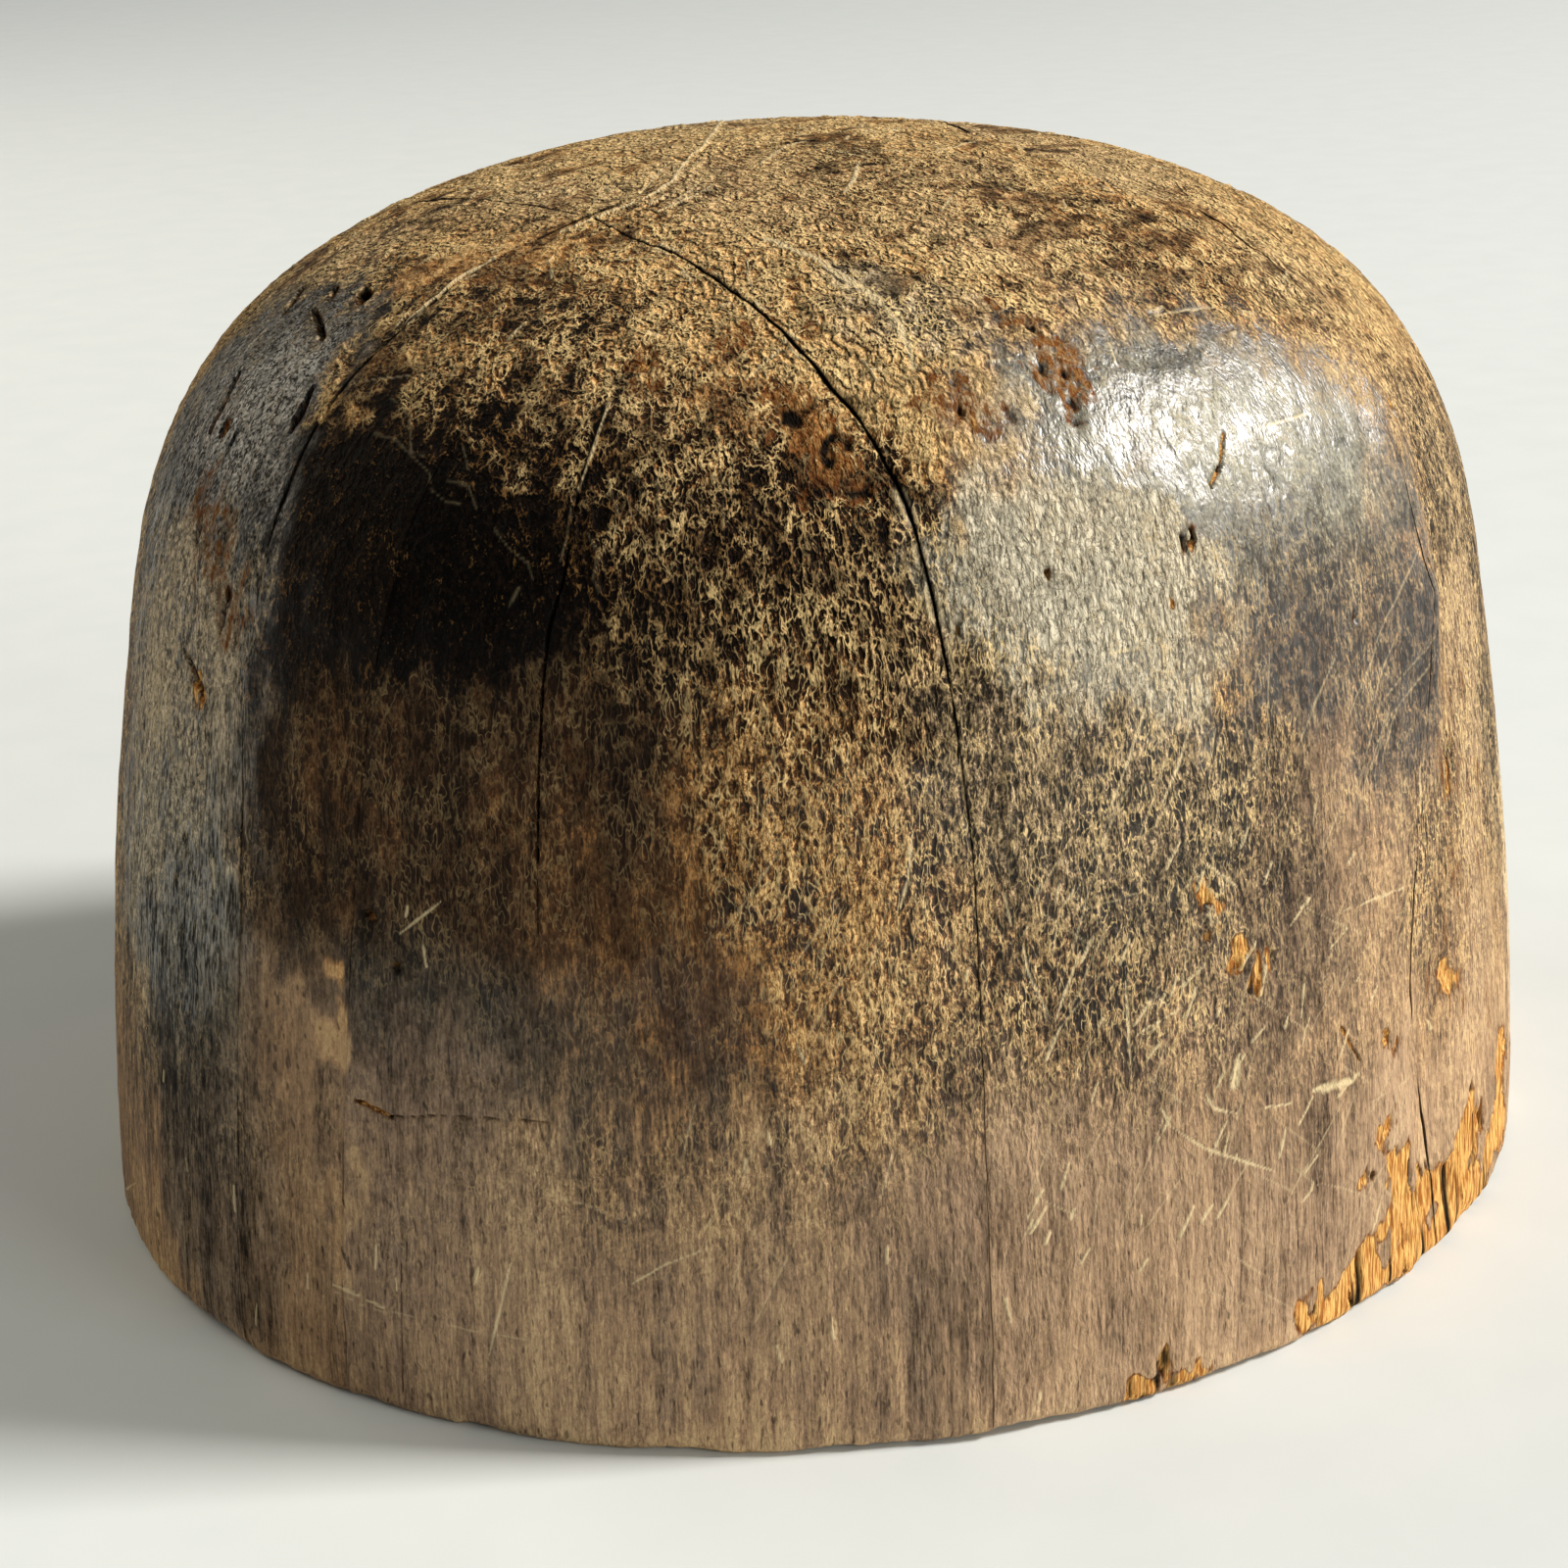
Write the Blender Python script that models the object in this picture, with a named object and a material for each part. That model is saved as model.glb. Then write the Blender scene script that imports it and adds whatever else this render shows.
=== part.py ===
# Hat block: a solid crown block, glued up from upright staves and carved to a head's oval.
# Metres. +X is the long way of the oval, +Z is up, and the origin is the middle of the foot.

import math

import bmesh
import bpy
from mathutils import Matrix, Vector

# The oval at the foot, and the height
BASE_LENGTH = 0.190
BASE_WIDTH = 0.1766
BLOCK_HEIGHT = 0.1287

# The side draws in as it rises. SIDE_LEAN is how far it would have come in at the very top.
SIDE_LEAN = 0.0191
LEAN_CURVE = 1.65

# The crown rolls over from the shoulder, and its section is a superellipse
SHOULDER_HEIGHT = 0.0671
CROWN_FLATNESS = 3.88
CROWN_ROUNDNESS = 2.18

# The edge of the foot, rubbed round by use
FOOT_ROUNDING = 0.0015

# Glue joints, as distances from the middle of the oval, and the width of the narrow strip
LEFT_JOINT = 0.041
RIGHT_JOINT = 0.025
LONG_JOINT = 0.0085
STRIP_WIDTH = 0.0175
GLUE_LINE = 0.0003

# Socket in the foot for the spindle of a stand
SOCKET_DIAMETER = 0.0254
SOCKET_DEPTH = 0.050
SOCKET_COUNTERSINK = 0.0015

# How finely the carved surface is divided. More crowding draws the crown's rings to the shoulder.
AROUND = 72
UP_THE_SIDE = 7
OVER_THE_CROWN = 16
SHOULDER_CROWDING = 1.4

# Vertices this close to a saw cut count as lying on it, and edges sharper than this stay crisp
CUT_TOLERANCE = 0.00002
CREASE_ANGLE = math.radians(35)


def clear_scene():
    for obj in list(bpy.data.objects):
        bpy.data.objects.remove(obj, do_unlink=True)


def half_plan(height):
    # Half length and half width of the side at a height, leaving out the roll of the crown
    rise = (height - FOOT_ROUNDING) / (BLOCK_HEIGHT - FOOT_ROUNDING)
    lean = SIDE_LEAN * rise ** LEAN_CURVE
    return BASE_LENGTH / 2 - lean, BASE_WIDTH / 2 - lean


def socket_rings():
    # Half length, half width and height of each ring, from the socket's floor to its mouth
    radius = SOCKET_DIAMETER / 2
    mouth = radius + SOCKET_COUNTERSINK
    return [
        (radius, radius, SOCKET_DEPTH),
        (radius, radius, SOCKET_COUNTERSINK),
        (mouth, mouth, 0.0),
    ]


def side_rings():
    # Round the edge of the foot, then up to the shoulder
    half_length, half_width = half_plan(FOOT_ROUNDING)
    rings = []
    for angle in (0.0, math.radians(45), math.radians(90)):
        inset = FOOT_ROUNDING * (1 - math.sin(angle))
        rings.append((half_length - inset, half_width - inset, FOOT_ROUNDING * (1 - math.cos(angle))))
    for step in range(1, UP_THE_SIDE + 1):
        height = FOOT_ROUNDING + (SHOULDER_HEIGHT - FOOT_ROUNDING) * step / UP_THE_SIDE
        rings.append((*half_plan(height), height))
    return rings


def crown_rings():
    # From the shoulder over towards the top, which closes in a point at BLOCK_HEIGHT
    rings = []
    for step in range(1, OVER_THE_CROWN):
        angle = math.radians(90) * (step / OVER_THE_CROWN) ** SHOULDER_CROWDING
        share = math.cos(angle) ** (2 / CROWN_ROUNDNESS)
        rise = math.sin(angle) ** (2 / CROWN_FLATNESS)
        height = SHOULDER_HEIGHT + (BLOCK_HEIGHT - SHOULDER_HEIGHT) * rise
        half_length, half_width = half_plan(height)
        rings.append((half_length * share, half_width * share, height))
    return rings


def carved_form():
    # The whole block with its socket as one closed shell, which every stave is sawn from
    rings = socket_rings() + side_rings() + crown_rings()
    half_length, half_width, height = rings[0]
    form = bmesh.new()
    bmesh.ops.create_circle(
        form, cap_ends=True, segments=AROUND, radius=1.0,
        matrix=Matrix.Translation((0, 0, height)) @ Matrix.Diagonal((half_length, half_width, 1, 1)),
    )
    rim = form.edges[:]
    for (old_length, old_width, old_height), (length, width, height) in zip(rings, rings[1:]):
        made = bmesh.ops.extrude_edge_only(form, edges=rim)["geom"]
        ring = [item for item in made if isinstance(item, bmesh.types.BMVert)]
        rim = [item for item in made if isinstance(item, bmesh.types.BMEdge) and item.is_boundary]
        bmesh.ops.scale(form, vec=(length / old_length, width / old_width, 1), verts=ring)
        bmesh.ops.translate(form, vec=(0, 0, height - old_height), verts=ring)
    crown = bmesh.ops.edgeloop_fill(form, edges=rim)["faces"]
    top = bmesh.ops.poke(form, faces=crown)["verts"]
    top[0].co.z = BLOCK_HEIGHT
    bmesh.ops.recalc_face_normals(form, faces=form.faces)
    return form


def saw(piece, where, away):
    # Takes off everything on the away side of a saw cut and closes the cut face
    cut = bmesh.ops.bisect_plane(
        piece, geom=piece.verts[:] + piece.edges[:] + piece.faces[:], dist=CUT_TOLERANCE,
        plane_co=where, plane_no=away, clear_outer=True,
    )["geom_cut"]
    bmesh.ops.edgeloop_fill(piece, edges=[item for item in cut if isinstance(item, bmesh.types.BMEdge)])


def finish_material(name, colour, roughness):
    material = bpy.data.materials.new(name)
    material.use_nodes = True
    shader = material.node_tree.nodes["Principled BSDF"]
    shader.inputs["Base Color"].default_value = (*colour, 1)
    shader.inputs["Roughness"].default_value = roughness
    shader.inputs["Metallic"].default_value = 0
    material.diffuse_color = (*colour, 1)
    return material


def make_stave(name, form, x_limits, y_limits, colour, roughness, parent):
    # A limit of None is the carved outside of the block, and any other limit is a glue joint
    piece = form.copy()
    middle = Vector()
    outside = (BASE_LENGTH / 2, BASE_WIDTH / 2)
    for axis, limits in enumerate((x_limits, y_limits)):
        for limit, sign in zip(limits, (-1, 1)):
            middle[axis] += (sign * outside[axis] if limit is None else limit) / 2
            if limit is None:
                continue
            away = Vector()
            away[axis] = sign
            where = Vector()
            where[axis] = limit - sign * GLUE_LINE / 2
            saw(piece, where, away)
    bmesh.ops.translate(piece, vec=-middle, verts=piece.verts)
    bmesh.ops.recalc_face_normals(piece, faces=piece.faces)
    mesh = bpy.data.meshes.new(name)
    piece.to_mesh(mesh)
    piece.free()
    mesh.shade_smooth()
    mesh.set_sharp_from_angle(angle=CREASE_ANGLE)
    mesh.materials.append(finish_material(name + "_wood", colour, roughness))
    stave = bpy.data.objects.new(name, mesh)
    stave.location = middle
    stave.parent = parent
    bpy.context.scene.collection.objects.link(stave)
    return stave


def make_block():
    block = bpy.data.objects.new("hat_block", None)
    bpy.context.scene.collection.objects.link(block)
    form = carved_form()

    left = (None, -LEFT_JOINT)
    middle = (-LEFT_JOINT, RIGHT_JOINT)
    right = (RIGHT_JOINT, None)
    front = (None, -LONG_JOINT)
    back = (-LONG_JOINT, None)
    strip = (-LONG_JOINT - STRIP_WIDTH, -LONG_JOINT)
    before_strip = (None, -LONG_JOINT - STRIP_WIDTH)

    # Linear colour of the wood and roughness of its old finish
    make_stave("left_front_stave", form, left, before_strip, (0.040, 0.026, 0.017), 0.42, block)
    make_stave("left_strip_stave", form, left, strip, (0.095, 0.056, 0.030), 0.55, block)
    make_stave("left_back_stave", form, left, back, (0.036, 0.034, 0.032), 0.38, block)
    make_stave("middle_front_stave", form, middle, front, (0.135, 0.080, 0.040), 0.50, block)
    make_stave("middle_back_stave", form, middle, back, (0.250, 0.160, 0.080), 0.62, block)
    make_stave("right_front_stave", form, right, front, (0.150, 0.098, 0.062), 0.45, block)
    make_stave("right_back_stave", form, right, back, (0.165, 0.105, 0.060), 0.58, block)
    form.free()


clear_scene()
make_block()
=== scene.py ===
import itertools
import math

import bmesh
import bpy
import numpy as np
from mathutils import Matrix, Vector
from mathutils.bvhtree import BVHTree


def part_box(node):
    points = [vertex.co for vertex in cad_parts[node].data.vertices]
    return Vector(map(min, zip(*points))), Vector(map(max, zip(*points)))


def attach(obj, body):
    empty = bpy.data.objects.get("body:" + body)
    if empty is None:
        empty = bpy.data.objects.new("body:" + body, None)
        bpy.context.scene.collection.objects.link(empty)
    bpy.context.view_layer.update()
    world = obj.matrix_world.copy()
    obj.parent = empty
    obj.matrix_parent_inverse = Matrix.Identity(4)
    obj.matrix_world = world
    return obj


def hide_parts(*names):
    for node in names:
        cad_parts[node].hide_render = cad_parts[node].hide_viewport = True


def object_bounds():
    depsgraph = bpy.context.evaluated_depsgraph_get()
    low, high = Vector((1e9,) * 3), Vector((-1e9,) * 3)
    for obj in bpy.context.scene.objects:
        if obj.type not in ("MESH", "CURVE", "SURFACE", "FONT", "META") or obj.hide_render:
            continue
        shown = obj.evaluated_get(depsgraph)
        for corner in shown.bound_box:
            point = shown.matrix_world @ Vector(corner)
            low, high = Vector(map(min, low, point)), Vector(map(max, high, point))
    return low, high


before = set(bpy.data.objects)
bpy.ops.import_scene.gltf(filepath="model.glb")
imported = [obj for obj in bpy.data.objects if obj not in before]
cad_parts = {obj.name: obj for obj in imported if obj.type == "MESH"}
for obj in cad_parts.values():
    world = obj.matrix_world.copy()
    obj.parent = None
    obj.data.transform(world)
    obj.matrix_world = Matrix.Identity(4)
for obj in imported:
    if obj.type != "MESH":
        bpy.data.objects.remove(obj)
cadLow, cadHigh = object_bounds()
mm = 0.001
print("frame loaded:", sorted(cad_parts))


# The camera stands where the photographer stood. The photograph is 1600 pixels square.
viewpoint = {
    "aimMm": (-3.4, 2.7, 48.5),
    "distanceMm": 380.9,
    "turn": -38.6,          # degrees round the block from its front
    "rise": 19.3,           # degrees above the bench
    "tilt": -1.3,           # the horizon leans a little
    "lensMm": 66.55,
    "sensorMm": 36.0,
    "shiftUp": -0.022,
    "photoPixels": 1600,
}


def makeCamera():
    lens = bpy.data.cameras.new("portraitLens")
    lens.lens = viewpoint["lensMm"]
    lens.sensor_width = viewpoint["sensorMm"]
    lens.shift_y = viewpoint["shiftUp"]
    lens.clip_start = 0.01
    lens.clip_end = 20
    camera = bpy.data.objects.new("portraitCamera", lens)
    bpy.context.scene.collection.objects.link(camera)
    turn, rise, tilt = (math.radians(viewpoint[key]) for key in ("turn", "rise", "tilt"))
    away = Vector((math.sin(turn) * math.cos(rise), -math.cos(turn) * math.cos(rise), math.sin(rise)))
    place = Vector(viewpoint["aimMm"]) * mm + away * viewpoint["distanceMm"] * mm
    camera.matrix_world = (
        Matrix.Translation(place) @ Matrix.Rotation(turn, 4, "Z")
        @ Matrix.Rotation(math.pi / 2 - rise, 4, "X") @ Matrix.Rotation(tilt, 4, "Z")
    )
    bpy.context.scene.camera = camera
    return camera


camera = makeCamera()


# The carved form, the same as in the solids but in faces of about half a millimetre
carving = {
    "sideLeanMm": 19.1,
    "leanCurve": 1.65,
    "shoulderMm": 67.1,
    "crownFlatness": 3.88,
    "crownRoundness": 2.18,
    "footRoundMm": 1.5,
    "facesAcross": 420,         # of the square net that is drawn over the crown
    "ringsDown": 118,           # from the shoulder to the foot's edge
    "ringsRoundFoot": 5,
    "profilePoints": 4000,
    "undersideStepMm": 7.0,
    "socketRadiusMm": 12.7,
    "socketDepthMm": 50.0,
    "socketCountersinkMm": 1.5,
    "socketSides": 96,
}


def halfPlan(height):
    # half length and half width of the side at a height, in metres
    foot = carving["footRoundMm"] * mm
    rise = np.clip((height - foot) / (cadHigh.z - foot), 0, 1)
    lean = carving["sideLeanMm"] * mm * rise ** carving["leanCurve"]
    return cadHigh.x - lean, cadHigh.y - lean


def carvedProfile():
    # half length, half width and height from the top of the crown (0) to the shoulder (1), the
    # foot's rounding (2) and the flat of the foot (3), evenly spaced along the surface in each
    shoulder, foot = carving["shoulderMm"] * mm, carving["footRoundMm"] * mm
    angle = np.linspace(math.pi / 2, 0, carving["profilePoints"])
    share = np.cos(angle) ** (2 / carving["crownRoundness"])
    crownHeight = shoulder + (cadHigh.z - shoulder) * np.sin(angle) ** (2 / carving["crownFlatness"])
    share[0] = 0
    length, width = halfPlan(crownHeight)
    crown = np.stack([length * share, width * share, crownHeight], axis=1)
    sideHeight = np.linspace(shoulder, foot, carving["profilePoints"])
    side = np.stack([*halfPlan(sideHeight), sideHeight], axis=1)
    length, width = halfPlan(foot)
    turn = np.linspace(0, math.pi / 2, carving["profilePoints"])
    inset = foot * (1 - np.cos(turn))
    rounding = np.stack([length - inset, width - inset, foot * (1 - np.sin(turn))], axis=1)
    stations, places = [], []
    for number, part in enumerate((crown, side, rounding)):
        steps = np.linalg.norm(np.diff(part, axis=0), axis=1)
        stations.append(number + np.concatenate([[0], np.cumsum(steps)]) / steps.sum())
        places.append(part)
    return np.concatenate(stations), np.concatenate(places)


def wrapNet(mesh):
    # bends the flat net over the crown and down the side, and keeps which way is outward
    count = len(mesh.vertices)
    net = np.empty(count * 3)
    mesh.vertices.foreach_get("co", net)
    net = net.reshape(-1, 3)
    reach = np.abs(net[:, :2]).max(axis=1)
    wide = np.abs(net[:, 0]) >= np.abs(net[:, 1])
    with np.errstate(divide="ignore", invalid="ignore"):
        turn = np.where(wide, math.pi / 4 * net[:, 1] / net[:, 0],
                        math.pi / 2 - math.pi / 4 * net[:, 0] / net[:, 1])
    turn = np.nan_to_num(turn)
    turn += np.where(np.where(wide, net[:, 0], net[:, 1]) < 0, math.pi, 0)
    ringsDown, ringsRound = carving["ringsDown"], carving["ringsRoundFoot"]
    ring = np.rint(-net[:, 2] * (ringsDown + ringsRound))
    station = np.where(ring > ringsDown, 2 + (ring - ringsDown) / ringsRound, reach + ring / ringsDown)
    stations, places = carvedProfile()
    slopes = np.gradient(places, axis=0)
    length, width, height = (np.interp(station, stations, values) for values in places.T)
    lengthSlope, widthSlope, heightSlope = (np.interp(station, stations, values) for values in slopes.T)
    cosine, sine = np.cos(turn), np.sin(turn)
    mesh.vertices.foreach_set("co", np.stack([length * cosine, width * sine, height], axis=1).ravel())
    outward = np.stack([
        -width * cosine * heightSlope, -length * sine * heightSlope,
        length * widthSlope * sine ** 2 + width * lengthSlope * cosine ** 2,
    ], axis=1)
    size = np.linalg.norm(outward, axis=1, keepdims=True)
    outward = np.where(size > 0, outward / np.maximum(size, 1e-30), (0, 0, 1))
    mesh.attributes.new("outward", "FLOAT_VECTOR", "POINT").data.foreach_set("vector", outward.ravel())
    mesh.update()


def growRing(form, rim, scale, drop):
    made = bmesh.ops.extrude_edge_only(form, edges=rim)["geom"]
    ring = [item for item in made if isinstance(item, bmesh.types.BMVert)]
    bmesh.ops.scale(form, vec=(*scale, 1), verts=ring)
    bmesh.ops.translate(form, vec=(0, 0, drop), verts=ring)
    return ring, [item for item in made if isinstance(item, bmesh.types.BMEdge) and item.is_boundary]


def makeForm():
    across = carving["facesAcross"]
    net = bmesh.new()
    bmesh.ops.create_grid(net, x_segments=across, y_segments=across, size=1)
    rim = [edge for edge in net.edges if edge.is_boundary]
    made = bmesh.ops.extrude_edge_only(net, edges=rim)["geom"]
    ring = [item for item in made if isinstance(item, bmesh.types.BMVert)]
    bmesh.ops.translate(net, vec=(0, 0, -1), verts=ring)
    uprights = [edge for vert in ring for edge in vert.link_edges if not edge.is_boundary]
    cuts = carving["ringsDown"] + carving["ringsRoundFoot"] - 1
    bmesh.ops.subdivide_edges(net, edges=uprights, cuts=cuts)
    mesh = bpy.data.meshes.new("carvedForm")
    net.to_mesh(mesh)
    net.free()
    wrapNet(mesh)

    form = bmesh.new()
    form.from_mesh(mesh)
    bpy.data.meshes.remove(mesh)
    outward = form.verts.layers.float_vector["outward"]
    # the underside: a narrow ring, then a flat web to the mouth of the socket
    rim = [edge for edge in form.edges if edge.is_boundary]
    half = cadHigh.x - carving["footRoundMm"] * mm
    inner = 1 - carving["undersideStepMm"] * mm / half
    ring, rim = growRing(form, rim, (inner, inner), 0)
    for vert in ring:
        vert[outward] = (0, 0, 0)
    radius, sink = carving["socketRadiusMm"] * mm, carving["socketCountersinkMm"] * mm
    mouth = bmesh.ops.create_circle(form, segments=carving["socketSides"], radius=radius + sink)["verts"]
    mouthRim = list(dict.fromkeys(edge for vert in mouth for edge in vert.link_edges))
    bmesh.ops.bridge_loops(form, edges=rim + mouthRim)
    share = radius / (radius + sink)
    ring, rim = growRing(form, mouthRim, (share, share), sink)
    ring, rim = growRing(form, rim, (1, 1), carving["socketDepthMm"] * mm - sink)
    bmesh.ops.edgeloop_fill(form, edges=rim)
    bmesh.ops.recalc_face_normals(form, faces=form.faces)
    return form


form = makeForm()
skin = BVHTree.FromBMesh(form)
print("form carved:", len(form.verts), "points")


# Marks are set where the photograph shows them, so pixels are followed from the camera to the block
def ontoBlock(pixelX, pixelY):
    # the point of the block, in metres, that shows at a pixel of the photograph
    half = viewpoint["photoPixels"] / 2
    focal = viewpoint["lensMm"] / viewpoint["sensorMm"] * viewpoint["photoPixels"]
    middleY = half + viewpoint["shiftUp"] * viewpoint["photoPixels"]
    ray = Vector(((pixelX - half) / focal, (middleY - pixelY) / focal, -1)).normalized()
    return skin.ray_cast(camera.matrix_world.translation, camera.matrix_world.to_3x3() @ ray)[0]


def traceOnBlock(path, stepPixels=9):
    # follows a path of photograph pixels over the block, in mm
    found = []
    for (startX, startY), (endX, endY) in zip(path, path[1:] or path):
        steps = max(1, int(math.hypot(endX - startX, endY - startY) / stepPixels))
        for step in range(steps + 1):
            share = step / steps
            hit = ontoBlock(startX + (endX - startX) * share, startY + (endY - startY) * share)
            if hit is not None:
                found.append(hit / mm)
    return np.array(found).reshape(-1, 3)


def nearTrace(points, trace, reach):
    # which points lie within reach of a trace, and how far from it they are, in mm
    if not len(trace):
        return np.zeros(0, int), np.zeros(0)
    inside = (points > trace.min(axis=0) - reach) & (points < trace.max(axis=0) + reach)
    near = np.flatnonzero(inside.all(axis=1))
    best = np.full(len(near), np.inf)
    if not len(near):
        return near, best
    place = points[near]
    for start, end in zip(trace, trace[1:] if len(trace) > 1 else trace):
        along = end - start
        length = max(along @ along, 1e-9)
        share = np.clip((place - start) @ along / length, 0, 1)
        best = np.minimum(best, np.linalg.norm(place - start - share[:, None] * along, axis=1))
    return near[best < reach], best[best < reach]


def softStep(value, low, high):
    share = np.clip((value - low) / (high - low), 0, 1)
    return share * share * (3 - 2 * share)


# Soft random patterns come from lattices of random numbers, one for each seed
latticeCells = 64
octaveShift = 7.3           # cells, so that the lumps of two octaves don't line up
lattices = {}


def lumps(points, size, seed, octaves=1):
    # smooth random values from -1 to 1 whose lumps are about size mm, one number or one for each axis
    if seed not in lattices:
        rng = np.random.default_rng(seed)
        lattices[seed] = rng.uniform(-1, 1, (latticeCells,) * 3).astype(np.float32)
    lattice = lattices[seed]
    total, gain = np.zeros(len(points), np.float32), 1.0
    for octave in range(octaves):
        cells = points / np.asarray(size, float) * 2 ** octave + octaveShift * octave
        corner = np.floor(cells)
        part = (cells - corner).astype(np.float32)
        part = part * part * (3 - 2 * part)
        corner = corner.astype(int)
        for offset in itertools.product((0, 1), repeat=3):
            share = np.prod(np.where(offset, part, 1 - part), axis=1)
            at = (corner + offset) % latticeCells
            total += gain * share * lattice[at[:, 0], at[:, 1], at[:, 2]]
        gain *= 0.5
    return total / (2 - 0.5 ** (octaves - 1))


# The block's own patterns: the size of a lump in mm, its seed and its octaves
clouds = {
    "blotch": ((16, 16, 32), 31, 2),
    "sidePatch": ((4.6, 4.6, 9.0), 32, 3),
    "slatePatch": ((14, 14, 40), 33, 2),
    "strokeEdge": ((3.2, 3.2, 6.0), 34, 3),
    "crownPatch": ((4.5, 3.6, 4.0), 35, 3),
    "sideStreak": ((1.5, 1.5, 34.0), 36, 2),
    "crownStreak": ((9.0, 1.2, 6.0), 37, 2),
    "unseenPatch": ((30, 30, 38), 38, 3),
    "dash": ((4.4, 2.2, 3.0), 39, 2),
    "dashCluster": (15, 40, 2),
    "markEdge": (1.3, 41, 1),
    "fineMarkEdge": (0.5, 42, 1),
    "chipFibre": ((0.8, 0.8, 3.0), 43, 2),
    "carving": (26, 51, 2),
    "dent": (7, 52, 1),
    "crownRough": ((1.9, 1.3, 1.9), 53, 2),
    "grain": ((0.95, 0.95, 11.0), 54, 1),
    "split": ((1, 1, 22), 55, 2),
    "footWear": (9, 56, 3),
    "footLift": ((13, 13, 60), 57, 2),
    "pits": ((1.1, 1.1, 3.0), 58, 2),
    "jointGlint": (1.8, 66, 1),
}


def cloud(name, points):
    return lumps(points, *clouds[name])


# Glue joints. Each lies in a plane, and its line on the surface wanders and opens as the pixels say:
# x, y and how wide it stands open there in mm.
joints = {
    "leftJoint": {
        "axis": 0, "between": ("left_back_stave", "middle_back_stave"),
        "seenAt": (
            (1010, 1430, 0.05), (1007, 1300, 0.05), (1005, 1200, 0.06), (1003, 1080, 0.08),
            (1001, 1000, 0.10), (1000, 900, 0.16), (990, 800, 0.16), (975, 700, 0.26), (960, 620, 0.50),
            (945, 560, 0.50), (930, 510, 0.55), (905, 460, 0.60), (880, 420, 0.60), (850, 390, 0.70),
            (820, 355, 0.55), (790, 325, 0.60), (760, 300, 0.50), (720, 275, 0.55), (680, 252, 0.50),
            (640, 237, 0.40), (600, 222, 0.35), (560, 212, 0.30), (480, 204, 0.25),
        ),
    },
    "longJoint": {
        "axis": 1, "between": ("middle_front_stave", "middle_back_stave"),
        "seenAt": (
            (246, 1290, 0.05), (245, 1200, 0.05), (245, 1000, 0.05), (247, 800, 0.06), (249, 700, 0.07),
            (265, 600, 0.10), (300, 480, 0.14), (332, 420, 0.20), (370, 370, 0.32), (411, 335, 0.32),
            (480, 280, 0.12), (540, 250, 0.12), (600, 222, 0.22), (650, 200, 0.12), (720, 160, 0.14),
        ),
    },
    "rightJoint": {
        "axis": 0, "between": ("middle_back_stave", "right_back_stave"),
        "seenAt": (
            (1447, 1000, 0.10), (1447, 910, 0.25), (1456, 607, 0.10), (1447, 572, 0.12), (1434, 515, 0.10),
            (1420, 464, 0.10), (1404, 414, 0.10), (1255, 235, 0.14), (1225, 215, 0.18), (1186, 200, 0.25),
            (1119, 189, 0.45), (1060, 177, 0.40),
        ),
    },
    "stripJoint": {"axis": 1, "between": ("left_front_stave", "left_strip_stave"), "seenAt": ()},
}
jointLooks = {
    "seed": 60, "seedStep": 10,
    "sawGapMm": 0.05,           # each side of every glue line
    "wanderReachMm": 9.0,       # how far out the wood follows a straying joint
    "hingeHeightMm": 45.0,      # places on a joint are counted as an angle round this height
    "fadeAngle": 0.45,          # from the last photographed place to where chance takes over
    "unseenOpenMm": 0.16, "unseenOpenSwing": 0.9, "unseenOpenSizeMm": 11,
    "unseenStrayMm": 0.25, "unseenStraySizeMm": 14,
    "jitterMm": 0.12, "jitterSizeMm": 2.2,
    "raggedShares": (0.62, 0.45, 0.25), "raggedSizesMm": (1.6, 0.7),
    "leastOpenMm": 0.02,
    "openShare": 0.6,
    "stripOpenMm": 0.05, "stripPastMm": 0.3,
    "gapMm": 0.45,              # the opening draws in over this much wood
    "arrisMm": 0.55,            # the worn edge of a joint
    "arrisLeast": 0.3, "arrisDropShare": 0.5, "arrisDropMm": 0.2,
    "lipMm": 0.16, "lipSizeMm": 9, "lipSeed": 65, "lipReachMm": 2.4,
    "grimeMm": 0.10, "grimeOpenShare": 0.20, "grimeOpenMm": (-0.02, 0.12),
    "glintAtMm": 0.5, "glintMm": 0.28, "glintOpenMm": (0.08, 0.25), "glintFrom": (-0.2, 0.35),
    "glintPale": 0.85,          # painted glints: pale edges here and there beside an open joint
}


def layJoints():
    for look in joints.values():
        axis = look["axis"]
        behind, ahead = look["between"]
        look["at"] = (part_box(behind)[1][axis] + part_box(ahead)[0][axis]) / 2 / mm
        stations = []
        for pixelX, pixelY, openMm in look["seenAt"]:
            hit = ontoBlock(pixelX, pixelY)
            if hit is not None:
                spot = np.array(hit) / mm
                stations.append((jointAngle(spot[None], axis)[0], spot[axis] - look["at"], openMm))
        stations.sort()
        look["stations"] = np.array(stations).reshape(-1, 3)


def jointAngle(points, axis):
    # nought at the top of the crown, and it runs either way down to the foot
    return np.arctan2(points[:, 1 - axis], points[:, 2] - jointLooks["hingeHeightMm"])


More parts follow.
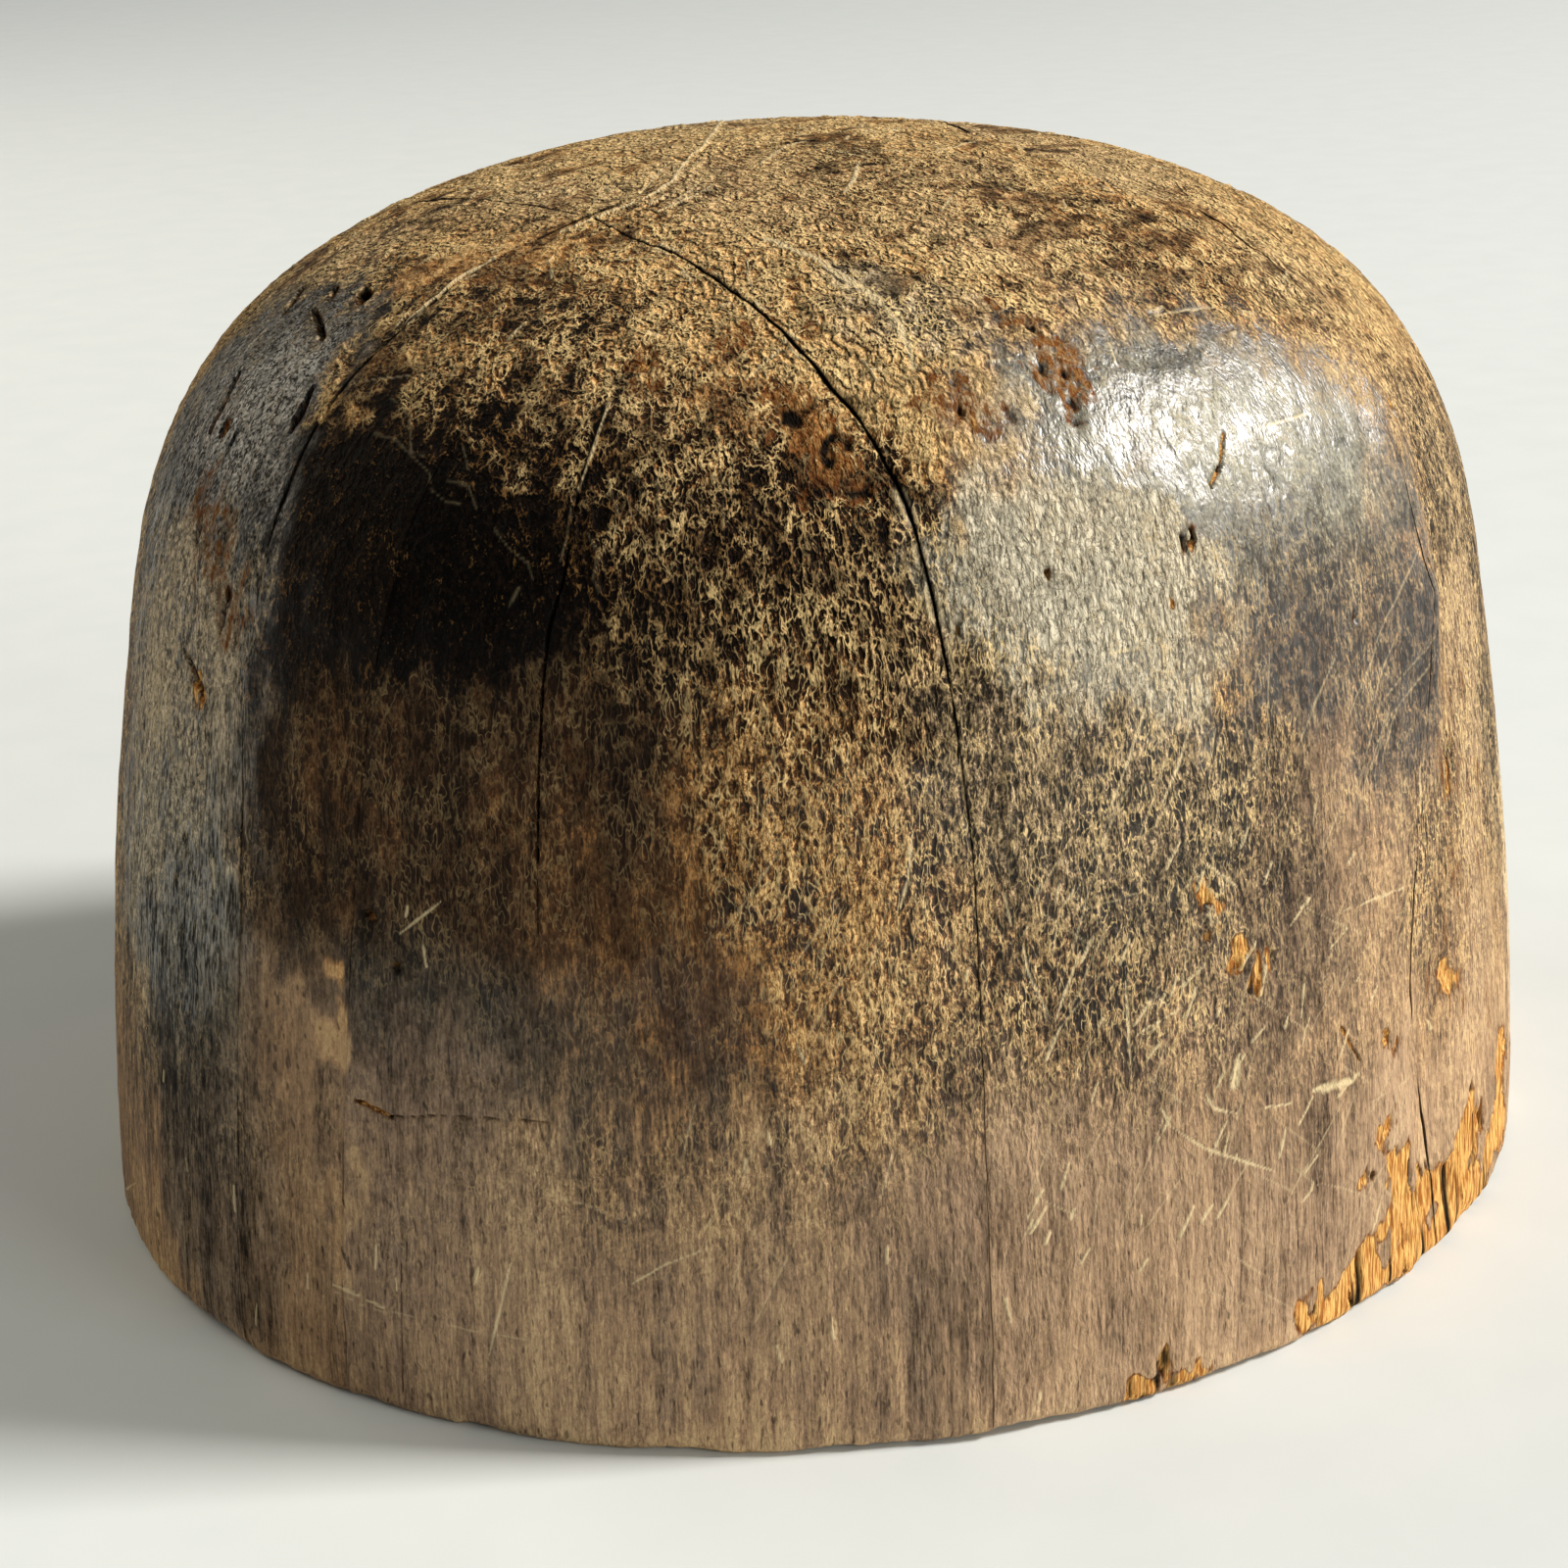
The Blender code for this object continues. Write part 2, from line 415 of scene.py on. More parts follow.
def followJoint(points, look, seed):
    # how far the joint strays from its plane beside each point, and how wide it stands open there
    angle = jointAngle(points, look["axis"])
    onLine = points.copy()
    onLine[:, look["axis"]] = look["at"]
    openSwing = jointLooks["unseenOpenSwing"] * lumps(onLine, jointLooks["unseenOpenSizeMm"], seed)
    openMm = jointLooks["unseenOpenMm"] * (1 + openSwing)
    stray = jointLooks["unseenStrayMm"] * lumps(onLine, jointLooks["unseenStraySizeMm"], seed + 1)
    if len(look["stations"]):
        angles, strays, opens = look["stations"].T
        fade = jointLooks["fadeAngle"]
        seen = softStep(angle, angles[0] - fade, angles[0])
        seen *= 1 - softStep(angle, angles[-1], angles[-1] + fade)
        jitter = jointLooks["jitterMm"] * lumps(onLine, jointLooks["jitterSizeMm"], seed + 2)
        stray = stray * (1 - seen) + seen * (np.interp(angle, angles, strays) + jitter)
        openMm = openMm * (1 - seen) + seen * np.interp(angle, angles, opens)
    steady, swing, fineSwing = jointLooks["raggedShares"]
    size, fineSize = jointLooks["raggedSizesMm"]
    ragged = steady + swing * lumps(onLine, size, seed + 3) + fineSwing * lumps(onLine, fineSize, seed + 4)
    return stray, np.maximum(openMm * ragged, jointLooks["leastOpenMm"])


# Marks set where the photograph shows them. Each kind says how far it reaches to either side, how
# deep it goes (below nought: cut in, above: raised), and what it does to the finish. A lens is widest in
# its middle, and what is fine is cut in smaller faces.
markKinds = {
    "check": {"reachMm": 0.24, "depthMm": -0.8, "dirt": 1.0, "fine": True},
    "hairline": {"reachMm": 0.18, "depthMm": -0.25, "dirt": 0.55, "fine": True},
    "scratch": {"reachMm": 0.27, "depthMm": -0.08, "paleAndGlint": 0.8, "fine": True, "lens": True},
    "faintScratch": {"reachMm": 0.20, "depthMm": -0.04, "paleAndGlint": 0.45, "fine": True, "lens": True},
    # fibres, threads and ridges stand raised, their pale tops partly bare wood and partly a painted glint
    "fibre": {"reachMm": 0.30, "depthMm": 0.16, "paleAndGlint": 0.75, "fine": True},
    "thread": {"reachMm": 0.27, "depthMm": 0.12, "paleAndGlint": 0.24, "fine": True},
    "ridge": {"reachMm": 0.45, "depthMm": 0.28, "paleAndGlint": 0.9, "fine": True},
    "smear": {"reachMm": 0.75, "depthMm": 0.10, "paleAndGlint": 0.8, "fine": True},
    "scar": {"reachMm": 0.40, "depthMm": -0.3, "raw": 0.8, "dirt": 0.35, "fine": True, "lens": True},
    "gouge": {"reachMm": 1.2, "depthMm": -1.2, "dirt": 0.9, "raw": 0.9, "lens": True},
    "slot": {"reachMm": 0.8, "depthMm": -0.9, "dirt": 1.0, "raw": 0.55, "fine": True, "lens": True},
    "pit": {"reachMm": 0.75, "depthMm": -0.7, "dirt": 0.85, "raw": 0.7, "lens": True},
    "nick": {"reachMm": 0.8, "depthMm": -0.25, "paleAndGlint": 0.9, "lens": True},
    "chip": {"reachMm": 1.8, "depthMm": -0.20, "raw": 1.0},
    "rust": {"reachMm": 2.2, "depthMm": -0.15, "raw": 0.6},
}
# Each mark is a path of pixels. A later one wins where a raised mark crosses one that is cut in.
marks = {
    "check": (
        ((618, 415), (595, 480), (583, 540), (575, 590), (560, 640), (553, 700), (549, 800), (548, 880)),
        ((1447, 905), (1450, 940), (1447, 1000)), ((1381, 1345), (1377, 1318)),
        ((1434, 1300), (1432, 1250)), ((1494, 1252), (1492, 1180)),
    ),
    "hairline": (
        ((549, 875), (548, 905), (548, 965)), ((1060, 177), (1090, 182), (1119, 189), (1186, 200)),
        ((564, 242), (614, 220), (664, 201), (696, 187), (717, 169), (725, 148)),
        ((408, 1290), (411, 1420)), ((355, 1120), (385, 1132), (410, 1140), (455, 1138), (560, 1145)),
        ((849, 123), (849, 138)), ((879, 192), (868, 208), (876, 225)),
        ((1289, 475), (1298, 486), (1310, 505)),
    ),
    "thread": (
        ((383, 443), (403, 448), (414, 459), (439, 484), (439, 492)),
        ((400, 407), (419, 423), (419, 462), (433, 465)), ((456, 490), (478, 496), (486, 518)),
        ((472, 457), (478, 479)), ((440, 500), (455, 512), (470, 515)),
        ((505, 540), (520, 560), (539, 575), (544, 590)), ((530, 600), (520, 618)),
        ((583, 518), (578, 551), (572, 573)), ((600, 545), (611, 565), (605, 590), (612, 604)),
        ((622, 490), (625, 510), (633, 528)), ((650, 485), (655, 507)), ((671, 487), (672, 522)),
        ((735, 480), (740, 500), (738, 540)),
    ),
    "ridge": (
        ((560, 236), (610, 214), (660, 196), (690, 183), (712, 166), (720, 146), (737, 126)),
        ((415, 330), (440, 306), (470, 282), (500, 262)), ((862, 196), (872, 180), (876, 165)),
    ),
    "smear": (
        ((783, 244), (830, 262), (866, 285), (905, 315), (925, 350), (933, 375)),
    ),
    "scratch": (
        ((640, 196), (672, 178), (690, 168)), ((668, 216), (700, 196), (722, 180)),
        ((760, 262), (756, 282), (760, 300)), ((930, 300), (936, 330), (934, 350)),
        ((645, 1310), (680, 1290), (720, 1275)), ((872, 134), (927, 131)), ((974, 197), (959, 216)),
        ((790, 353), (758, 388)), ((1272, 442), (1334, 422)), ((1174, 320), (1259, 312)),
        ((1195, 1150), (1230, 1172), (1300, 1195)), ((1148, 1000), (1153, 1085)),
        ((1186, 1130), (1195, 1150)), ((1232, 1118), (1240, 1132), (1262, 1136)),
        ((1290, 1130), (1318, 1126)), ((1330, 1225), (1340, 1212)), ((1370, 930), (1440, 902)),
        ((1230, 880), (1262, 905)), ((925, 850), (922, 900), (916, 930)), ((1017, 913), (1027, 947)),
        ((1040, 960), (1048, 993), (1072, 1040)), ((1101, 970), (1077, 1040)), ((1160, 1055), (1207, 1027)),
        ((1170, 720), (1153, 773), (1130, 833)), ((1220, 720), (1203, 780), (1183, 827)),
        ((1133, 667), (1153, 663)), ((1217, 887), (1240, 913)), ((384, 288), (372, 314)),
        ((318, 318), (334, 350)),
    ),
    "faintScratch": (
        ((330, 1312), (375, 1335), (430, 1345), (500, 1362), (600, 1372)),
        ((555, 1218), (600, 1230), (640, 1247)), ((800, 1235), (838, 1250)),
        ((783, 244), (866, 273), (920, 324), (931, 369)), ((1060, 400), (1050, 450), (1046, 500)),
        ((1072, 652), (1076, 690)), ((1198, 1120), (1206, 1150)), ((1340, 1050), (1362, 1000)),
        ((1318, 1190), (1345, 1210), (1350, 1190)), ((1100, 930), (1180, 905)),
        ((1050, 1005), (1062, 1040)), ((1082, 930), (1072, 985)), ((1020, 867), (1027, 827)),
    ),
    "fibre": (
        ((621, 412), (600, 474), (590, 500)), ((340, 1310), (392, 1334)), ((670, 216), (726, 190)),
        ((783, 168), (815, 152), (837, 144)), ((955, 155), (994, 144)),
    ),
    "scar": (
        ((360, 1122), (400, 1140)), ((1248, 442), (1245, 473), (1235, 496)), ((1368, 1048), (1388, 1082)),
        ((1195, 610), (1196, 620)), ((1218, 545), (1216, 562)), ((1438, 569), (1446, 595), (1452, 617)),
    ),
    "gouge": (
        ((375, 293), (370, 308)), ((230, 432), (228, 440)),
    ),
    "slot": (
        ((320, 316), (326, 332), (330, 346)), ((243, 380), (233, 402), (224, 418), (214, 440)),
        ((322, 396), (314, 412), (302, 440)), ((206, 527), (200, 553)), ((232, 600), (226, 645)),
        ((262, 312), (248, 328)), ((190, 668), (200, 690), (206, 714)),
    ),
    "pit": (
        ((344, 291), (338, 305)), ((312, 290), (300, 305), (290, 320)), ((240, 444), (236, 452)),
        ((965, 645), (966, 650)), ((1382, 629), (1384, 632)), ((1069, 582), (1070, 586)),
        ((372, 932), (380, 938)), ((400, 982), (404, 990)),
    ),
    "nick": (
        ((1340, 1112), (1360, 1108), (1380, 1103)), ((1260, 1108), (1262, 1086)),
    ),
    "chip": (
        ((200, 690), (204, 712)), ((1410, 412), (1412, 424)), ((1222, 905), (1240, 930), (1236, 948)),
        ((1290, 980), (1282, 1004)), ((1266, 960), (1262, 985)), ((1418, 1060), (1426, 1068)),
        ((1410, 1160), (1422, 1145)), ((1398, 1196), (1390, 1208)), ((1448, 992), (1452, 1000)),
        ((1478, 770), (1480, 800)), ((1484, 985), (1488, 1000)), ((1210, 1405), (1225, 1395)),
    ),
    "rust": (
        ((1085, 362), (1090, 385)), ((1210, 545), (1216, 570)), ((825, 430), (835, 455)),
        ((655, 356), (662, 390)), ((986, 420), (990, 432)),
    ),
}

# Fine scratches and fibres lie close together on the front: their kind, how many, how long in pixels, how
# far they lean from upright in degrees, and the corners of their patch
sweeps = (
    ("faintScratch", 64, 110, 21, (1030, 700), (1420, 1300)),
    ("fibre", 60, 22, 25, (1030, 860), (1430, 1320)),
    ("faintScratch", 16, 60, -62, (1100, 950), (1400, 1340)),
    ("faintScratch", 14, 70, 28, (620, 900), (980, 1380)),
)
sweepLooks = {"seed": 417, "leanSwing": 9, "lengthSwing": (0.3, 1.6), "shares": (0, 0.33, 0.66, 1)}

# Broad changes in the finish, painted one over another. Each is a path of pixels and what changes
# along it: to how much, how far the change reaches, and how softly it ends, in mm.
strokes = (
    # the crown
    (((470, 270), (620, 250), (780, 225), (900, 235), (1080, 215), (1200, 250)), ("wear", 0.86, 12, 12)),
    (((380, 300), (470, 300), (560, 320)), ("wear", 0.42, 4, 8)),
    (((860, 155), (1000, 185), (1120, 225), (1200, 290)), ("wear", 0.58, 4, 8)),
    (((430, 430), (560, 430), (700, 440), (850, 470)), ("wear", 0.58, 6, 8)),
    (((398, 350), (350, 425)), ("slateAndSheen", 0.8, 1.5, 5), ("wear", 0.26, 1.5, 5), ("calm", 0.6, 2, 5)),
    (((440, 278), (520, 266)), ("calm", 0.7, 2, 5), ("wear", 0.66, 2, 4)),
    (((900, 330), (940, 420), (990, 480)), ("wear", 1.14, 7, 8)),
    (((880, 295), (950, 330)), ("slateAndSheen", 0.6, 3, 6), ("wear", 0.55, 3, 5)),
    (((960, 560), (1000, 640)), ("wear", 0.62, 6, 8)),
    # the black shoulder: dark varnish, painted darker still as shade where the side turns from the lamps
    (((330, 470), (380, 560), (520, 600), (640, 620), (880, 560)),
     ("gloss", 0.0, 16, 10), ("slateAndSheen", 0.0, 14, 12)),
    (((600, 530), (720, 560), (860, 560)), ("wear", 0.06, 7, 9)),
    (((740, 640), (860, 640)), ("wear", 0.24, 5, 8)),
    (((290, 620), (420, 680), (560, 700), (620, 720)), ("wear", 0.1, 12, 14)),
    (((440, 470), (520, 520), (600, 590), (640, 620)), ("wear", 0.1, 6, 9)),
    (((440, 480), (540, 530), (700, 580), (820, 560)), ("coarse", 1.0, 9, 9)),
    (((270, 520), (330, 540), (420, 580), (490, 615)), ("wear", -0.5, 6, 12)),
    (((262, 450), (262, 600), (262, 720)), ("wear", 0.02, 4, 7)),
    (((262, 450), (258, 600), (256, 720)), ("slateAndSheen", 0.8, 3, 7), ("gloss", 0.25, 3, 7)),
    (((310, 520), (320, 600), (330, 680)), ("wear", -0.4, 4, 9)),
    # the brown front, and the ochre beside it
    (((480, 830), (650, 800)), ("wear", 0.11, 8, 12)),
    (((300, 830), (460, 840)), ("wear", 0.26, 8, 12)),
    (((320, 780), (500, 800), (640, 800)), ("slateAndSheen", 0.0, 12, 14)),
    (((300, 820), (480, 820), (570, 800)), ("calm", 0.8, 9, 12)),
    (((300, 820), (480, 820), (640, 800)), ("gloss", 0.05, 12, 12)),
    (((320, 970), (500, 1000), (620, 1000)), ("wear", 0.28, 8, 12)),
    (((300, 1040), (480, 1060), (640, 1040)), ("calm", 0.88, 9, 14)),
    (((815, 760), (860, 850), (880, 980)), ("wear", 0.46, 8, 8)),
    (((885, 1040), (890, 1110)), ("wear", 0.56, 7, 8)),
    # the right front
    (((1080, 750), (1180, 850), (1290, 930), (1220, 1040)), ("wear", 0.29, 12, 12)),
    (((1060, 740), (1180, 850), (1290, 930)), ("slateAndSheen", 0.5, 12, 12)),
    (((1040, 790), (1045, 960)), ("wear", 0.4, 3, 5)),
    (((1390, 770), (1395, 1000)), ("wear", 0.52, 4, 8)),
    (((1380, 1090), (1370, 1210)), ("wear", 0.66, 5, 8)),
    (((1100, 1290), (1200, 1280), (1330, 1240)), ("wear", 0.44, 10, 14)),
    (((770, 740), (800, 880), (770, 1000)), ("slateAndSheen", 0.0, 8, 9)),
    (((1060, 1280), (1180, 1280), (1300, 1230), (1390, 1120)), ("rubbed", 1.0, 12, 16)),
    (((1300, 1060), (1380, 960), (1410, 800)), ("rubbed", 0.6, 10, 14)),
    (((1060, 1330), (1180, 1320), (1300, 1270), (1390, 1150)), ("calm", 0.95, 10, 18)),
    (((1360, 1000), (1400, 800), (1380, 700)), ("calm", 0.65, 7, 12)),
    (((1080, 1150), (1250, 1200), (1380, 1060), (1420, 850)), ("slateAndSheen", 0.2, 16, 12)),
    # the rubbed lower side
    (((290, 1300), (400, 1380), (560, 1410), (700, 1420), (900, 1400), (1100, 1360)),
     ("rubbed", 0.85, 8, 16)),
    (((290, 1060), (295, 1200)), ("rubbed", 0.7, 6, 10)),
    (((410, 1160), (430, 1290)), ("rubbed", 0.9, 8, 12)),
    # the polished shoulder, grey painted under its highlight and a reflection painted below it, and the dark
    # wood right of it
    (((1120, 430), (1180, 420), (1300, 440), (1370, 500), (1390, 560), (1200, 540), (1100, 560)),
     ("wear", 0.5, 8, 12), ("grained", 0.0, 8, 12), ("calm", 0.45, 8, 12)),
    (((1110, 430), (1180, 420), (1300, 440), (1370, 500), (1390, 560), (1200, 560)),
     ("gloss", 1.0, 10, 12)),
    (((1040, 540), (1090, 590), (1180, 600)), ("gloss", 1.0, 6, 7)),
    # grey painted under the highlight, so that it shows whiter
    (((1120, 430), (1180, 420), (1300, 440), (1350, 480), (1200, 500)), ("slateAndSheen", 1.0, 5, 13)),
    (((1250, 610), (1380, 620), (1420, 680)), ("wear", 0.2, 7, 8), ("rubbed", 0.1, 6, 9)),
    (((1290, 600), (1400, 640), (1430, 730)), ("calm", 0.15, 6, 9)),
    (((1300, 620), (1400, 650), (1430, 720)), ("wear", 0.12, 5, 9)),
    # a painted reflection: a pale grey-green patch below the highlight
    (((990, 590), (1060, 650), (1200, 660)),
     ("slateAndSheen", 0.85, 4, 6), ("wear", 0.66, 4, 6), ("calm", 0.2, 4, 6)),
    (((1040, 555), (1090, 590), (1170, 570)), ("slateAndSheen", 0.9, 4, 8), ("calm", 0.05, 4, 8)),
    (((1050, 560), (1090, 595), (1160, 575)), ("wear", 1.2, 4, 7)),
    (((1240, 640), (1380, 640), (1420, 720)), ("gloss", 0.6, 6, 10)),
    # the sheen down the left end: real gloss, over grey tones painted pale as sheen
    (((240, 400), (200, 500), (190, 580)), ("wear", -0.02, 12, 12)),
    (((185, 640), (180, 760), (175, 960)), ("wear", 0.74, 9, 12)),
    (((240, 400), (200, 500), (180, 700), (165, 880)),
     ("slateAndSheen", 0.7, 12, 12), ("grained", 1.3, 12, 10), ("gloss", 1.0, 12, 10)),
    (((1490, 650), (1505, 900), (1510, 1080)), ("rubbed", 0.75, 4, 8), ("wear", 0.68, 4, 8)),
    (((170, 900), (175, 980)), ("slateAndSheen", 0.8, 10, 10)),
    (((165, 880), (165, 960)), ("wear", 0.66, 8, 10)),
    (((195, 1000), (205, 1110), (222, 1250)), ("slateAndSheen", 0.9, 9, 6)),
    (((190, 980), (200, 1100), (220, 1250)), ("wear", 0.3, 10, 6)),
    # low on the front, the edge of the foot and the strip's pale edge
    (((420, 1130), (450, 1280), (520, 1380)), ("slateAndSheen", 0.45, 12, 12)),
    (((700, 1330), (800, 1250)), ("slateAndSheen", 0.3, 8, 12)),
    (((420, 1445), (560, 1472), (700, 1482), (880, 1472), (1100, 1432), (1300, 1375)),
     ("wear", 0.6, 1.5, 4)),
    (((290, 1040), (292, 1200)), ("wear", 0.66, 3, 3)),
    (((347, 965), (347, 1180), (346, 1290)), ("wear", 0.86, 0.5, 1.4), ("slateAndSheen", 0.0, 0.5, 1.4)),
    # raw wood, rust and the torn corner
    (((205, 500), (215, 560), (230, 620)), ("raw", 0.38, 2, 4)),
    (((1505, 800), (1518, 950), (1524, 1080)), ("raw", 0.26, 2, 5)),
    (((1478, 720), (1486, 850), (1488, 1000)), ("raw", 0.3, 2, 4)),
    (((800, 408), (830, 440), (835, 470)), ("raw", 0.5, 1.5, 2.5)),
    (((1045, 330), (1085, 360), (1095, 400)), ("raw", 0.5, 1.5, 3.0)),
    (((655, 352), (664, 392)), ("raw", 0.45, 1.0, 2.0)),
    (((735, 334), (782, 330)), ("raw", 0.4, 0.8, 2.0)),
    (((960, 400), (1010, 420)), ("raw", 0.4, 1.0, 2.5)),
    (((1533, 1080), (1528, 1150), (1490, 1235), (1450, 1275), (1400, 1310), (1360, 1340)),
     ("raw", 0.96, 2.6, 2.5)),
    (((1500, 1160), (1490, 1200), (1440, 1225), (1430, 1270)), ("raw", 0.9, 2.2, 3.5)),
    (((1528, 760), (1538, 900), (1540, 1040)), ("slateAndSheen", 0.7, 2, 4), ("wear", 0.85, 2, 4)),
    (((1436, 1180), (1428, 1230), (1400, 1270)), ("raw", 0.75, 1.2, 2.5)),
    (((1350, 1370), (1250, 1403), (1150, 1427)), ("raw", 0.85, 0.8, 2.2)),
)
finishNames = ("wear", "raw", "dirt", "paleAndGlint", "slateAndSheen", "gloss", "rubbed", "calm", "grained", "coarse")
# What the finish is like before the strokes. A pair under From, Slope or Mm says where something starts and
# where it is full, and any other pair is for the side and for the crown.
finish = {
    "crownSlope": (0.35, 0.85),         # how far up the wood faces
    "sideAndCrown": {
        "wear": (0.38, 0.97), "slateAndSheen": (0.20, 0.05), "gloss": (0.22, 0.05), "grained": (0.45, 0.6),
        "coarse": (0.35, 1.0),
    },
    "lowSideMm": (15, 60), "low": {"wear": 0.22, "calm": 0.85, "grained": 0.55},
    "rubbedSideMm": (12, 50), "lowRubbed": 0.6,
    "slatePatch": 0.35, "blotchWear": 0.20, "patchWear": (0.19, 0.34), "streakWear": 0.22,
    "dashFrom": (0.02, 0.30), "dashClusterFrom": (-0.45, 0.15), "dashWear": 0.36, "dashCalm": 0.7,
    "unseenFrom": (-0.1, 0.4), "unseenWear": 0.9, "unseenDarker": 0.2, "unseenSlateLoss": 0.7,
    "unseenGloss": 0.4, "unseenGlossFrom": (0.05, 0.4),
    "strokeEdgeMm": 7.0,        # how raggedly a painted stroke ends
    "strokeSpareMm": 3.0,
    "leastWear": -0.6, "most": 1.2,
}
towardsCamera = camera.matrix_world.translation.normalized()
# More marks of the same kinds all round, where no photograph says
strays = {
    "seed": 1902,
    "kinds": {
        "faintScratch": {"count": 44, "lengthMm": 13},
        "scratch": {"count": 14, "lengthMm": 8},
        "fibre": {"count": 240, "lengthMm": 2.2},
        "pit": {"count": 46, "lengthMm": 2.2},
        "chip": {"count": 22, "lengthMm": 4},
        "rust": {"count": 14, "lengthMm": 5},
        "hairline": {"count": 12, "lengthMm": 12},
        "gouge": {"count": 5, "lengthMm": 3},
    },
    "heightsMm": (4, 170),      # reckoned past the shoulder, so that the crown has its share
    "sideTopMm": 66, "sideReachMm": (95, 88),
    "crownReachMm": 80, "crownNarrow": 0.93, "crownFromMm": 120,
    "lengthSwing": (0.4, 1.5), "bend": 0.05, "steps": 5,
    "uprightKinds": ("pit", "hairline", "chip", "gouge", "fibre"), "uprightSlope": 0.75, "uprightLean": 0.14,
    "byHandKinds": ("pit", "chip", "rust", "hairline", "gouge"), "byHandFacing": 0.1,
    "flatSlope": 0.97,
}


def strayPlace(rng):
    # somewhere on the side or, more often than its share, on the crown
    turn, height = rng.uniform(0, 2 * math.pi), rng.uniform(*strays["heightsMm"])
    if height > strays["sideTopMm"]:
        reach = math.sqrt(rng.uniform(0, 1)) * strays["crownReachMm"]
        across = math.sin(turn) * reach * strays["crownNarrow"]
        spot = Vector((math.cos(turn) * reach, across, strays["crownFromMm"]))
    else:
        length, width = strays["sideReachMm"]
        spot = Vector((math.cos(turn) * length, math.sin(turn) * width, height))
    return skin.find_nearest(spot * mm)[:2]


def strayMarks():
    rng = np.random.default_rng(strays["seed"])
    made = []
    for kind, look in strays["kinds"].items():
        for number in range(look["count"]):
            spot, normal = strayPlace(rng)
            # the kinds that draw the eye are left to the listed marks wherever the photograph shows
            byHand = kind in strays["byHandKinds"] and normal.dot(towardsCamera) > strays["byHandFacing"]
            upright = kind in strays["uprightKinds"] and abs(normal.z) < strays["uprightSlope"]
            lean = rng.normal(0, strays["uprightLean"]) if upright else rng.uniform(0, math.pi)
            level = Vector((0, 0, 1)) if abs(normal.z) < strays["flatSlope"] else Vector((1, 0, 0))
            across = normal.cross(level).normalized()
            heading = across * math.sin(lean) + normal.cross(across) * math.cos(lean)
            length = look["lengthMm"] * rng.uniform(*strays["lengthSwing"])
            bend = rng.normal(0, strays["bend"])
            trace = []
            for step in range(strays["steps"]):
                trace.append(np.array(spot) / mm)
                spot, normal = skin.find_nearest(spot + heading * length / (strays["steps"] - 1) * mm)[:2]
                heading = (heading + normal.cross(heading) * bend).normalized()
            if not byHand:
                made.append((kind, np.array(trace)))
    return made


def sweepMarks():
    rng = np.random.default_rng(sweepLooks["seed"])
    made = []
    for kind, count, lengthPixels, lean, (left, top), (right, bottom) in sweeps:
        for number in range(count):
            startX, startY = rng.uniform(left, right), rng.uniform(top, bottom)
            angle = math.radians(lean + rng.normal(0, sweepLooks["leanSwing"]))
            length = lengthPixels * rng.uniform(*sweepLooks["lengthSwing"])
            path = [(startX + math.sin(angle) * length * share, startY - math.cos(angle) * length * share)
                    for share in sweepLooks["shares"]]
            made.append((kind, traceOnBlock(path)))
    return made


def crownShare(outward):
    # nought on the side and one on the crown
    return softStep(outward[:, 2], *finish["crownSlope"])


def groundPaint(points, outward):
    # the finish before the strokes, and the finer wear and streaks that come after them
    up = crownShare(outward)
    height = points[:, 2]
    paint = {name: np.zeros(len(points)) for name in finishNames}
    for name, (side, crown) in finish["sideAndCrown"].items():
        paint[name] += side + (crown - side) * up
    low = 1 - softStep(height, *finish["lowSideMm"])
    for name, more in finish["low"].items():
        paint[name] += more * low
    paint["slateAndSheen"] += finish["slatePatch"] * cloud("slatePatch", points)
    paint["rubbed"] += finish["lowRubbed"] * (1 - softStep(height, *finish["rubbedSideMm"]))
    unseen = softStep(-(outward @ np.array(towardsCamera)), *finish["unseenFrom"])
    wide = cloud("unseenPatch", points) * unseen
    paint["wear"] += finish["unseenWear"] * (wide - finish["unseenDarker"] * unseen)
    paint["slateAndSheen"] *= 1 - finish["unseenSlateLoss"] * unseen
    paint["gloss"] += finish["unseenGloss"] * softStep(-wide, *finish["unseenGlossFrom"])

    sidePatchWear, crownPatchWear = finish["patchWear"]
    patch = cloud("sidePatch", points) * (1 - up) * sidePatchWear
    patch += cloud("crownPatch", points) * up * crownPatchWear
    streak = cloud("sideStreak", points) * (1 - up) + cloud("crownStreak", points) * up
    return paint, finish["blotchWear"] * cloud("blotch", points) + patch, streak


def paintFinish(points, outward):
    # how much of each thing in finishNames there is at every point of a stave
    up = crownShare(outward)
    paint, patchWear, streak = groundPaint(points, outward)
    ragged = cloud("strokeEdge", points) * finish["strokeEdgeMm"]
    for trace, changes in paintedStrokes:
        for name, target, reach, soft in changes:
            near, far = nearTrace(points, trace, reach + soft + finish["strokeSpareMm"])
            share = 1 - softStep(far + ragged[near], reach, reach + soft)
            paint[name][near] += (target - paint[name][near]) * share
    paint["wear"] += patchWear
    paint["wear"] += finish["streakWear"] * streak * np.clip(paint["grained"] + up, 0, 1)
    # short dashes where the crown's brown stain is left whole
    dash = softStep(cloud("dash", points), *finish["dashFrom"]) * up
    dash *= softStep(cloud("dashCluster", points), *finish["dashClusterFrom"])
    dash *= 1 - np.clip(paint["gloss"], 0, 1)
    paint["wear"] -= np.maximum(paint["wear"] - finish["dashWear"], 0) * dash
    paint["calm"] = np.maximum(paint["calm"], finish["dashCalm"] * dash)
    return paint


cutting = {
    "edgeSwing": 0.55, "fineEdgeSwing": 0.3, "leastEdge": 0.25,
    "spareReach": 1.8,
    "lensEnd": 0.03,
    "broadMm": 1.5, "broadFrom": (-0.35, 0.25),     # broad marks are patchy and follow the fibres
    "dirtPower": 1.6, "paleGain": 1.4, "rawPower": 0.5,
}


